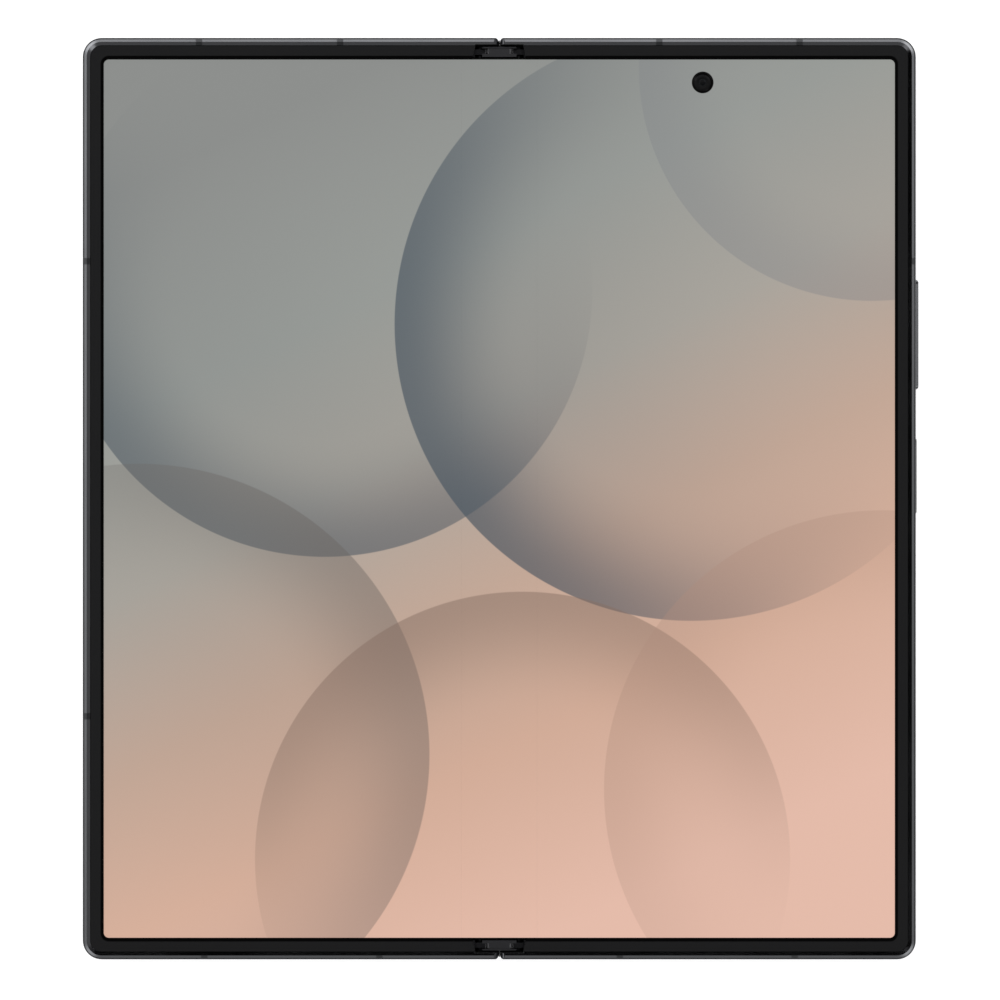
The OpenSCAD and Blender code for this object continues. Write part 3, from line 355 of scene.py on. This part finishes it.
# The bezel's inner edge is inked dead black, where the film's own border begins
open_x, open_y = 68 * mm, 75.6 * mm  # half the opening in the bezel
ink_corner = 0.9 * mm
ink_w, ink_soft = 0.5 * mm, 0.1 * mm
tree = bezel.node_tree
reach = round_reach(tree, add(tree, "TexCoord").outputs["Object"], (open_x, open_y), ink_corner)
inked = add(tree, "MapRange", {"Value": reach, "From Min": ink_corner + ink_w + ink_soft,
                               "From Max": ink_corner + ink_w - ink_soft},
            interpolation_type="SMOOTHSTEP").outputs[0]
overlay(bezel, inked, {"Base Color": "#010101", "Roughness": 0.95})


# ---- Display ----
# A flexible screen under a thin polymer film, in one sheet across both halves. Its lit picture
# stops short of the plastic rim, and the film has a faint wave where it folds.
picture_x = 68.0 * mm  # half the lit width
picture_y = 75.48 * mm  # half the lit height
picture_corner = 0.9 * mm
picture_reach = 95 * mm  # the colours change up to here above and below the middle
picture_slant = 0.5  # how much the colours drop to the right, as a share of the way down
disc_soft = 0.08  # mm, to each side of a disc's edge
screen_matt, screen_light = 0.3, 0.68  # share of the picture that the room lights, and its own light
map_span = 200 * mm  # real size that the fold's texture map covers
print_soft = 0.03 * mm

punch_low, punch_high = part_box("inner_camera")
punch = ((punch_low.x + punch_high.x) / 2, (punch_low.y + punch_high.y) / 2, 0)
punch_print = 1.87 * mm

discs = (  # middle x, y and radius in mm, way of the shaded side in degrees, depth of shade, tint
    (-30, 36, 46, 250, 0.74, "#57626a"),
    (33, 30, 51, 205, 0.80, "#4f5b65"),
    (64, 74, 40, 235, 0.42, "#83868a"),
    (-62, -44, 50, 20, 0.52, "#6c6763"),
    (4, -62, 46, 100, 0.55, "#866f63"),
    (66, -50, 48, 140, 0.34, "#b08e7e"),
)


def off_axis(tree, place, axis):
    """The level way from an upright axis to a point, and its length."""
    away = add(tree, "VectorMath", {0: place, 1: axis}, operation="SUBTRACT").outputs[0]
    away = add(tree, "VectorMath", {0: away, 1: (1, 1, 0)}, operation="MULTIPLY").outputs[0]
    return away, add(tree, "VectorMath", {0: away}, operation="LENGTH").outputs["Value"]


def picture(tree, place):
    """A soft picture of overlapping see-through discs, grey above and peach below, in a black border."""
    x, y, _ = add(tree, "SeparateXYZ", {"Vector": place}).outputs
    slope = add(tree, "Math", {0: x, 1: -picture_slant}, operation="MULTIPLY").outputs[0]
    slope = add(tree, "Math", {0: y, 1: slope}, operation="ADD").outputs[0]
    slope = add(tree, "MapRange", {"Value": slope, "From Min": -picture_reach,
                                  "From Max": picture_reach}).outputs[0]
    tone = add(tree, "ValToRGB", {"Fac": slope}, (
        (0.08, "#eac0ae"), (0.27, "#dcb49f"), (0.42, "#c6aa99"),
        (0.58, "#aca79f"), (0.74, "#9b9e9a"), (0.95, "#8e908e"))).outputs[0]
    for centre_x, centre_y, radius, way, depth, tint in discs:
        here, far = off_axis(tree, place, (centre_x * mm, centre_y * mm, 0))
        inside = add(tree, "MapRange", {"Value": far, "From Min": (radius + disc_soft) * mm,
                                        "From Max": (radius - disc_soft) * mm}).outputs[0]
        way = Vector((math.cos(math.radians(way)), math.sin(math.radians(way)), 0)) / (radius * mm)
        aside = add(tree, "VectorMath", {0: here, 1: way}, operation="DOT_PRODUCT").outputs["Value"]
        soft = add(tree, "MapRange", {"Value": aside, "From Min": -0.7, "From Max": 1.1,
                                      "To Max": depth}, interpolation_type="SMOOTHERSTEP").outputs[0]
        rim = add(tree, "MapRange", {"Value": far, "From Min": radius * 0.55 * mm, "From Max": radius * mm,
                                     "To Min": 0.25, "To Max": 1}, interpolation_type="SMOOTHSTEP").outputs[0]
        cover = add(tree, "Math", {0: inside, 1: soft}, operation="MULTIPLY").outputs[0]
        cover = add(tree, "Math", {0: cover, 1: rim}, operation="MULTIPLY").outputs[0]
        tone = add(tree, "Mix", {"Factor": cover, "A": tone, "B": linear(tint)},
                   data_type="RGBA").outputs["Result"]
    # The lit area is a rectangle with small round corners, and a black print runs round the punch hole
    reach = round_reach(tree, place, (picture_x, picture_y), picture_corner)
    _, away = off_axis(tree, place, punch)
    lit = share_where(tree, (reach, picture_corner + print_soft, picture_corner - print_soft),
                      (away, punch_print - print_soft, punch_print + print_soft))
    return add(tree, "Mix", {"Factor": lit, "A": linear("#020202"), "B": tone},
               data_type="RGBA").outputs["Result"]


def screen_film(name, mapped):
    """Polymer film over lit pixels. Most of the picture's light is its own, and a part is the room's."""
    finish, tree = new_material(name)
    places = add(tree, "TexCoord").outputs
    place = places["Object"]
    if mapped:
        place = add(tree, "VectorMath", {
            0: places["UV"], 1: (map_span, map_span, 0), 2: (-map_span / 2, -map_span / 2, 0)},
            operation="MULTIPLY_ADD").outputs[0]
    shown = picture(tree, place)
    matt = add(tree, "VectorMath", {0: shown, "Scale": screen_matt}, operation="SCALE").outputs[0]
    skin = add(tree, "BsdfPrincipled", {
        "Base Color": matt, "Roughness": 0.2, "IOR": 1.45, "Specular IOR Level": 0.08,
        "Emission Color": shown, "Emission Strength": screen_light})
    add(tree, "OutputMaterial", {"Surface": skin.outputs[0]})
    return finish


dress(screen_film("display_film", False), "right_display_panel", "left_display_panel")
fold_film = screen_film("display_fold_film", True)

fold_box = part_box("display_fold_strip")
fold_steps = 40
crease_x = 4.6 * mm
crease_depth = 0.03 * mm
thin_x = 5.6 * mm  # the bending stretch has no backing sheet up to here
backing = 0.12 * mm
half_bodies = ((1, ("spine", "right_half")), (-1, ("left_half", "spine")))  # the side, and the two bodies each half lies between


def ease(value, start, end):
    """Smooth step from 0 to 1 as the value goes from start to end."""
    t = min(max((value - start) / (end - start), 0), 1)
    return t * t * (3 - 2 * t)


def close_slab(mesh, rows):
    """Joins rows of four corners into a closed slab."""
    for first, second in zip(rows, rows[1:]):
        for k in range(4):
            mesh.faces.new((first[k], first[(k + 1) % 4], second[(k + 1) % 4], second[k]))
    mesh.faces.new(rows[0])
    mesh.faces.new(rows[-1])
    bmesh.ops.recalc_face_normals(mesh, faces=mesh.faces)


def fold_half(side):
    """One half of the bending stretch: a slab in narrow strips, with its map from where it lies."""
    low, high = fold_box
    mesh = bmesh.new()
    maps = mesh.loops.layers.uv.new("rest_map")
    rows = []
    for k in range(fold_steps + 1):
        x = side * high.x * k / fold_steps
        dip = crease_depth * 0.5 * (1 + math.cos(math.pi * min(abs(x) / crease_x, 1)))
        top = high.z - dip
        under = low.z + backing * (1 - ease(abs(x), thin_x, high.x))
        rows.append([mesh.verts.new((x, y, z)) for y, z in
                     ((low.y, top), (high.y, top), (high.y, under), (low.y, under))])
    close_slab(mesh, rows)
    for face in mesh.faces:
        face.smooth = True
        for loop in face.loops:
            loop[maps].uv = (loop.vert.co.x / map_span + 0.5, loop.vert.co.y / map_span + 0.5)
    return mesh


def hard_edges(piece, degrees=35):
    """Keeps edges sharp where the surface turns by more than this."""
    piece.data.set_sharp_from_angle(angle=math.radians(degrees))


def bend(piece, node):
    """Puts a piece in place of a CAD node, with its sharp edges kept and its place baked into its mesh."""
    hard_edges(piece)
    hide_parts(node)
    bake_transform(piece)


for side, halves in half_bodies:
    film = new_piece(("right" if side > 0 else "left") + "_fold_film", fold_half(side), fold_film)
    bend(film, "display_fold_strip")


# ---- Hinge cables ----
# Two flexible circuits that cross the hinge under the display: copper tracks laminated between
# amber polyimide films. Their ends are glued to the halves, and the free stretch sags a little between them.
polyimide = moulded("amber_polyimide_film", "#9a5b22", 0.3, 0.5)
cable_low, cable_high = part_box("hinge_flex_cables")
cable_y, cable_w = 25 * mm, 8 * mm
cable_steps = 24
slack = 0.44 * mm  # how far the cables hang below their ends, which clears the wing plates
slack_x, level_x = 4.6 * mm, 6.6 * mm  # they hang up to the first, and are level from the second on
for along in (-1, 1):
    for side, halves in half_bodies:
        mesh = bmesh.new()
        y0, y1 = along * cable_y - cable_w / 2, along * cable_y + cable_w / 2
        rows = []
        for k in range(cable_steps + 1):
            x = side * cable_high.x * k / cable_steps
            sag = slack * (1 - ease(abs(x), slack_x, level_x))
            top, under = cable_high.z - sag, cable_low.z - sag
            rows.append([mesh.verts.new((x, y, z)) for y, z in
                         ((y0, top), (y1, top), (y1, under), (y0, under))])
        close_slab(mesh, rows)
        name = f"{'right' if side > 0 else 'left'}_{'upper' if along > 0 else 'lower'}_flex_cable"
        cable = new_piece(name, mesh, polyimide)
        bend(cable, "hinge_flex_cables")


# ---- Inner camera ----
# A small lens under the display's punch hole: a blackened barrel behind a smoked glass that
# lies just below the film.
def lathe(profile, steps=72):
    """A mesh of radius and height pairs, in mm, turned about the upright axis."""
    mesh = bmesh.new()
    rings = []
    for radius, height in profile:
        turns = [2 * math.pi * k / steps for k in range(steps if radius else 1)]
        rings.append([mesh.verts.new((
            radius * mm * math.cos(turn), radius * mm * math.sin(turn), height * mm)) for turn in turns])
    for first, second in zip(rings, rings[1:]):
        for k in range(steps):
            corners = (first[k % len(first)], first[(k + 1) % len(first)],
                       second[(k + 1) % len(second)], second[k % len(second)])
            mesh.faces.new(list(dict.fromkeys(corners)))
    bmesh.ops.recalc_face_normals(mesh, faces=mesh.faces)
    return mesh


def part(name, mesh, finish, body, old, at, sharp=35):
    """Adds a finished piece that rides on a body in place of a CAD node."""
    made = new_piece(name, mesh, finish)
    made.location = at
    hard_edges(made, sharp)
    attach(made, body)
    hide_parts(old)


def ringed_glass(name, stops, roughness, shine):
    """Glass with black print and coatings in rings about its own middle: radius in mm and colour."""
    finish, tree = new_material(name)
    place = add(tree, "TexCoord").outputs["Object"]
    _, far = off_axis(tree, place, (0, 0, 0))
    widest = stops[-1][0]
    share = add(tree, "MapRange", {"Value": far, "From Max": widest * mm}).outputs[0]
    rings = add(tree, "ValToRGB", {"Fac": share}, [(radius / widest, colour) for radius, colour in stops])
    smear = add(tree, "TexNoise", {"Vector": place, "Scale": 1 / (1.5 * mm), "Detail": 2}).outputs["Fac"]
    dull = add(tree, "MapRange", {"Value": smear, "To Min": roughness, "To Max": roughness + 0.05}).outputs[0]
    skin = add(tree, "BsdfPrincipled", {"Base Color": rings.outputs[0], "Roughness": dull, "IOR": 1.52,
                                        "Specular IOR Level": shine})
    add(tree, "OutputMaterial", {"Surface": skin.outputs[0]})
    return finish


punch_top, punch_foot = punch_high.z / mm, punch_low.z / mm
eye_r, flange_r = 1.8, 2.85  # mm
window_foot = punch_top - 0.3
smoked = ringed_glass("smoked_lens_window", (
    (0, "#050607"), (0.5, "#07080b"), (0.56, "#1c1d20"), (0.64, "#090a0b"), (1.05, "#0e0e0f"),
    (1.4, "#101011"), (1.48, "#010101"), (eye_r, "#000000")), 0.12, 0.07)
part("inner_lens_window", lathe((
    (0, punch_top), (0.48, punch_top - 0.015), (0.62, punch_top - 0.05), (0.75, punch_top - 0.02),
    (1.45, punch_top - 0.01), (1.55, punch_top - 0.06), (1.78, punch_top - 0.06), (eye_r, punch_top - 0.08),
    (eye_r, window_foot), (0, window_foot))),
    smoked, "right_half", "inner_camera", punch)
blackened = moulded("blackened_aluminium", "#0b0b0c", 0.42, 0.35)
part("inner_lens_barrel", lathe((
    (0, window_foot - 0.01), (eye_r, window_foot - 0.01), (eye_r, punch_foot + 1.5),
    (flange_r - 0.15, punch_foot + 1.5), (flange_r, punch_foot + 1.35), (flange_r, punch_foot + 0.1),
    (flange_r - 0.1, punch_foot), (0, punch_foot))),
    blackened, "right_half", "inner_camera", punch)


# ---- Back glass ----
# Toughened glass over a graphite film on the right half, acid-etched to a satin that keeps
# a fine sparkle. It is glued into the frame's rebate.
def blacken_inside(finish):
    """The graphite film or print on the inner side of a back glass is matt black."""
    tree = finish.node_tree
    upward = add(tree, "SeparateXYZ", {"Vector": add(tree, "NewGeometry").outputs["Normal"]}).outputs["Z"]
    overlay(finish, share_where(tree, (upward, 0.4, 0.6)), {
        "Base Color": "#040404", "Roughness": 0.95, "Specular IOR Level": 0.05})


etched = moulded("etched_graphite_glass", "#2c2d2f", 0.36, 0.5, 0.1 * mm)
blacken_inside(etched)
dress(etched, "right_back_glass")


# ---- Cover screen ----
# The left half's back is clear glass over a second display. It is printed black round the
# edge and round its camera, and the dark display shows a shade bluer inside that print.
cover, tree = new_material("printed_cover_glass")
cover_low, cover_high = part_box("cover_glass")
cover_middle = (cover_low + cover_high) / 2
cover_half = (cover_high - cover_low) / 2
print_w, print_corner = 2.3 * mm, 2.2 * mm
eye_low, eye_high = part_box("cover_camera")
eye = ((eye_low.x + eye_high.x) / 2, (eye_low.y + eye_high.y) / 2, 0)
eye_print, eye_clear = 2.0 * mm, 0.8 * mm  # radii of the black print and of the clear eye in it
place = add(tree, "TexCoord").outputs["Object"]
reach = round_reach(tree, place, (cover_half.x - print_w, cover_half.y - print_w), print_corner,
                    tuple(cover_middle))
_, away = off_axis(tree, place, eye)
shown = share_where(tree, (reach, print_corner + print_soft, print_corner - print_soft),
                    (away, eye_print - 0.05 * mm, eye_print))
lens = share_where(tree, (away, eye_clear + 0.1 * mm, eye_clear))
tone = add(tree, "Mix", {"Factor": shown, "A": linear("#030303"), "B": linear("#0b0d11")},
           data_type="RGBA").outputs["Result"]
tone = add(tree, "Mix", {"Factor": lens, "A": tone, "B": linear("#131622")},
           data_type="RGBA").outputs["Result"]
smear = add(tree, "TexNoise", {"Vector": place, "Scale": 1 / (14 * mm), "Detail": 3}).outputs["Fac"]
dull = add(tree, "MapRange", {"Value": smear, "To Min": 0.03, "To Max": 0.1}).outputs[0]
skin = add(tree, "BsdfPrincipled", {"Base Color": tone, "Roughness": dull, "IOR": 1.52})
add(tree, "OutputMaterial", {"Surface": skin.outputs[0]})
blacken_inside(cover)
dress(cover, "cover_glass")
dress(moulded("display_backing_film", "#0b0d11", 0.3), "cover_display")
dress(blackened, "cover_camera")


# ---- Rear cameras ----
# Three lens modules stand in the camera island behind flat sapphire windows. Each has a
# blackened barrel turned in steps against stray light, and a coated domed front element.
clear, tree = new_material("clear_sapphire")
place = add(tree, "TexCoord").outputs["Object"]
smear = add(tree, "TexNoise", {"Vector": place, "Scale": 1 / (2 * mm), "Detail": 2}).outputs["Fac"]
dull = add(tree, "MapRange", {"Value": smear, "To Min": 0.0, "To Max": 0.03}).outputs[0]
skin = add(tree, "BsdfPrincipled", {"Base Color": linear("#e9edf0"), "Roughness": dull, "IOR": 1.5,
                                    "Transmission Weight": 1})
add(tree, "OutputMaterial", {"Surface": skin.outputs[0]})
coated = ringed_glass("coated_lens_glass", (
    (0, "#050608"), (0.85, "#07080c"), (0.95, "#1b2030"), (1.25, "#0b1020"), (1.9, "#121a2c"),
    (2.3, "#1a1526"), (2.42, "#060607")), 0.02, 0.8)

ring_low, ring_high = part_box("camera_rings")
window_low, window_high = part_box("camera_windows")
module_low, module_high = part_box("rear_cameras")
ring_w = ring_high.x - ring_low.x
lens_pitch = (ring_high.y - ring_low.y - ring_w) / 2
lens_x = (ring_low.x + ring_high.x) / 2
lens_y = (ring_low.y + ring_high.y) / 2
window_r = (window_high.x - window_low.x) / 2 / mm
front, back = window_low.z / mm, window_high.z / mm
module_half, module_top = (module_high.x - module_low.x) / 2 / mm, module_high.z / mm
module_foot = 3.2  # mm, where the square sensor housing begins
barrel_r = 5.12
element_r, element_z, dome_depth = 2.42, 1.28, 3.6  # the front element's radius, crown and dome


def block(mesh, low, high, bevel, segments=2):
    """Adds a block with rolled edges between two corners, in mm."""
    corners = bmesh.ops.create_cube(mesh, size=1)["verts"]
    bmesh.ops.scale(mesh, vec=[(b - a) * mm for a, b in zip(low, high)], verts=corners)
    bmesh.ops.translate(mesh, vec=[(a + b) / 2 * mm for a, b in zip(low, high)], verts=corners)
    edges = list({edge for corner in corners for edge in corner.link_edges})
    bmesh.ops.bevel(mesh, geom=edges, offset=bevel * mm, segments=segments, affect="EDGES", profile=0.5)
    return mesh


for k, name in ((1, "upper"), (0, "middle"), (-1, "lower")):
    at = (lens_x, lens_y + k * lens_pitch, 0)
    part(name + "_camera_window", lathe((
        (0, front), (window_r - 0.1, front), (window_r, front + 0.1), (window_r, back), (0, back))),
        clear, "right_half", "camera_windows", at)
    shell = lathe((
        (0, 1.95), (2.45, 1.95), (2.45, 1.5), (2.75, 1.46), (2.8, 1.28), (3.15, 1.25), (3.2, 1.1),
        (3.6, 1.06), (3.65, 0.92), (4.15, 0.88), (4.2, 0.74), (4.95, 0.71), (barrel_r, 0.8),
        (barrel_r, module_foot + 0.2), (0, module_foot + 0.2)))
    block(shell, (-module_half, -module_half, module_foot), (module_half, module_half, module_top), 0.4)
    part(name + "_lens_module", shell, blackened, "right_half", "rear_cameras", at)
    turns = [math.radians(step) for step in range(0, 44, 4)]
    dome = [(element_r * math.sin(turn), element_z + dome_depth * (1 - math.cos(turn))) for turn in turns]
    part(name + "_front_element", lathe(dome + [(element_r - 0.01, 1.9), (0, 1.9)]), coated,
         "right_half", "rear_cameras", at)


# ---- Flash ----
# A moulded acrylic Fresnel lens over a yellow phosphor chip, pressed into the back glass.
acrylic, tree = new_material("moulded_acrylic_lens")
place = add(tree, "TexCoord").outputs["Object"]
haze = add(tree, "TexNoise", {"Vector": place, "Scale": 1 / (0.4 * mm), "Detail": 2}).outputs["Fac"]
dull = add(tree, "MapRange", {"Value": haze, "To Min": 0.08, "To Max": 0.2}).outputs[0]
skin = add(tree, "BsdfPrincipled", {"Base Color": linear("#f3efe2"), "Roughness": dull, "IOR": 1.49,
                                    "Transmission Weight": 0.75})
add(tree, "OutputMaterial", {"Surface": skin.outputs[0]})
flash_low, flash_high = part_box("flash_lens")
flash_at = ((flash_low.x + flash_high.x) / 2, (flash_low.y + flash_high.y) / 2, 0)
low = flash_low.z / mm
flash_r, flash_thick = 2.3, 0.7  # mm
ridge_pitch, ridge_depth = 0.3, 0.08
ridges = [(0, low + 0.02)]
for k in range(6):
    r = 0.35 + ridge_pitch * k
    ridges += [(r, low), (r + 0.03, low + ridge_depth)]
ridges += [(flash_r - 0.1, low), (flash_r, low + ridge_depth),
           (flash_r, low + flash_thick), (0, low + flash_thick)]
part("flash_fresnel_lens", lathe(ridges), acrylic, "right_half", "flash_lens", flash_at, 20)
carrier_half, carrier_low = 2.75, low + 0.92  # the chip's square carrier
chip_half, chip_low = 1.2, low + flash_thick + 0.02
chip = bmesh.new()
block(chip, (-carrier_half, -carrier_half, carrier_low), (carrier_half, carrier_half, flash_high.z / mm), 0.1)
block(chip, (-chip_half, -chip_half, chip_low), (chip_half, chip_half, carrier_low + 0.02), 0.1)
part("flash_phosphor_chip", chip, moulded("yellow_phosphor_silicone", "#d9b84f", 0.6, 0.3, 0.05 * mm),
     "right_half", "flash_lens", flash_at)


# ---- Hinge ----
# A gear hinge of stamped and sintered steel in a coated aluminium spine. Its brass idler gears
# couple the halves, and clips of spring steel give it its friction.
mark_size = 0.3 * mm  # real turning and stamping marks are finer, and are drawn coarser so that they show


def machined(name, colour, roughness):
    """Plain turned, stamped or sintered metal."""
    finish, tree = new_material(name)
    place = add(tree, "TexCoord").outputs["Object"]
    marks = add(tree, "TexNoise", {"Vector": place, "Scale": 1 / mark_size, "Detail": 4}).outputs["Fac"]
    dull = add(tree, "MapRange", {"Value": marks, "To Min": roughness - 0.08, "To Max": roughness + 0.08})
    tone = add(tree, "MapRange", {"Value": marks, "To Min": 0.85, "To Max": 1.1}).outputs[0]
    dyed = add(tree, "VectorMath", {0: linear(colour)[:3], "Scale": tone}, operation="SCALE").outputs[0]
    skin = add(tree, "BsdfPrincipled", {"Base Color": dyed, "Metallic": 1, "Roughness": dull.outputs[0]})
    add(tree, "OutputMaterial", {"Surface": skin.outputs[0]})
    return finish


spine_metal = anodised("graphite_spine_aluminium", "#4a4b4d", 0.3)
dress(spine_metal, "spine_cover")

# The upper edges of the spine's side walls are drawn near black, as painted shade beside the fold
tree = spine_metal.node_tree
spine_shade_x, spine_shade_z = 2.9 * mm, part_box("spine_cover")[1].z - 0.5 * mm
place = add(tree, "TexCoord").outputs["Object"]
off_x, _, _ = off_middle(tree, place)
z = add(tree, "SeparateXYZ", {"Vector": place}).outputs["Z"]
painted_shade = share_where(tree, (off_x, spine_shade_x - 0.1 * mm, spine_shade_x), (z, spine_shade_z, spine_shade_z + 0.05 * mm))
overlay(spine_metal, painted_shade, {"Base Color": "#141415"})
dress(machined("dark_coated_steel", "#39393b", 0.4), "end_brackets", "slide_blocks")
dress(machined("blackened_steel", "#29292b", 0.5), "right_crescent_arms", "left_crescent_arms", "hinge_pins")

# The eyes of the end arms are drawn brighter where they turn against the bracket, as a painted highlight on
# their rounded eyes
highlighted_steel = machined("blackened_steel_painted_highlight", "#29292b", 0.5)
eye_x = 2.45 * mm
tree = highlighted_steel.node_tree
off_x, _, _ = off_middle(tree, add(tree, "TexCoord").outputs["Object"])
overlay(highlighted_steel, share_where(tree, (off_x, eye_x, eye_x - 0.2 * mm)), {"Base Color": "#a2a2a5"})
dress(highlighted_steel, "right_end_arms", "left_end_arms")
spring_steel = machined("spring_steel", "#a9a9ac", 0.22)
stainless = machined("stainless_sheet", "#8f8f92", 0.28)
brass = machined("gear_brass", "#c9a95a", 0.3)
dress(spring_steel, "idler_axles", "friction_clips")
dress(stainless, "centre_plate", "right_wing_plate", "left_wing_plate")
dress(brass, "right_idler_gears", "left_idler_gears")


# ---- Boards, batteries and other inner parts ----
# Glass-epoxy boards under stamped steel shields, battery pouches of laminated foil, a wound
# copper coil, nickel-plated magnets and speakers in moulded ABS, all screwed or glued down.
dress(stainless, "board_shields", "sim_reader", "usb_socket", "vibration_motor")
dress(spring_steel, "right_screws", "left_screws")
dress(brass, "key_switches")
dress(machined("coil_copper", "#b8733a", 0.3), "charging_coil")
dress(machined("magnet_nickel", "#b4b2ad", 0.2), "right_magnets", "left_magnets")
dress(moulded("board_laminate", "#1d4a38", 0.4), "main_board", "sub_board", "left_board")
dress(moulded("battery_pouch_foil", "#2a2a2c", 0.4), "right_battery", "left_battery")
dress(moulded("speaker_housing_abs", "#232325", 0.5), "bottom_speaker", "earpiece")


# ---- Seam lips and end seals ----
# A black silicone lip is moulded on the left frame's face at each end of the fold, and closes
# the gap between the two frames when the phone is open. A thin seal on each end of the spine
# fills the gap beside the frames' end walls. Both keep dust out of the hinge.
silicone = moulded("black_silicone", "#1b1b1d", 0.6, 0.25, 0.08 * mm)
frame_low, frame_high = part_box("left_frame")
spine_low, spine_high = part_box("spine_cover")
gap = -frame_high.x  # from the fold's middle to the left frame
wall_y = spine_high.y + 0.1 * mm  # inner face of the end walls
lip_y = frame_high.y - 0.3 * mm
lip_low, lip_top = frame_low.z + 0.1 * mm, frame_high.z - 1.4 * mm
seal_x = 1.6 * mm
seal_in, seal_out = spine_high.y - 0.02 * mm, spine_high.y + 0.06 * mm
seal_low, seal_top = spine_low.z + 0.35 * mm, spine_high.z - 0.12 * mm


def bar(name, low, high, bevel, body):
    """A soft silicone bar between two corners."""
    mesh = block(bmesh.new(), [value / mm for value in low], [value / mm for value in high], bevel, 3)
    made = new_piece(name, mesh, silicone)
    hard_edges(made)
    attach(made, body)


for name, along in (("upper", 1), ("lower", -1)):
    # The lip laps the left frame a little and ends just short of the right one
    y0, y1 = sorted((along * wall_y, along * lip_y))
    bar(name + "_seam_lip", (-1.05 * gap, y0, lip_low), (0.92 * gap, y1, lip_top), 0.03, "left_half")
    y0, y1 = sorted((along * seal_in, along * seal_out))
    bar(name + "_spine_seal", (-seal_x, y0, seal_low), (seal_x, y1, seal_top), 0.02, "spine")
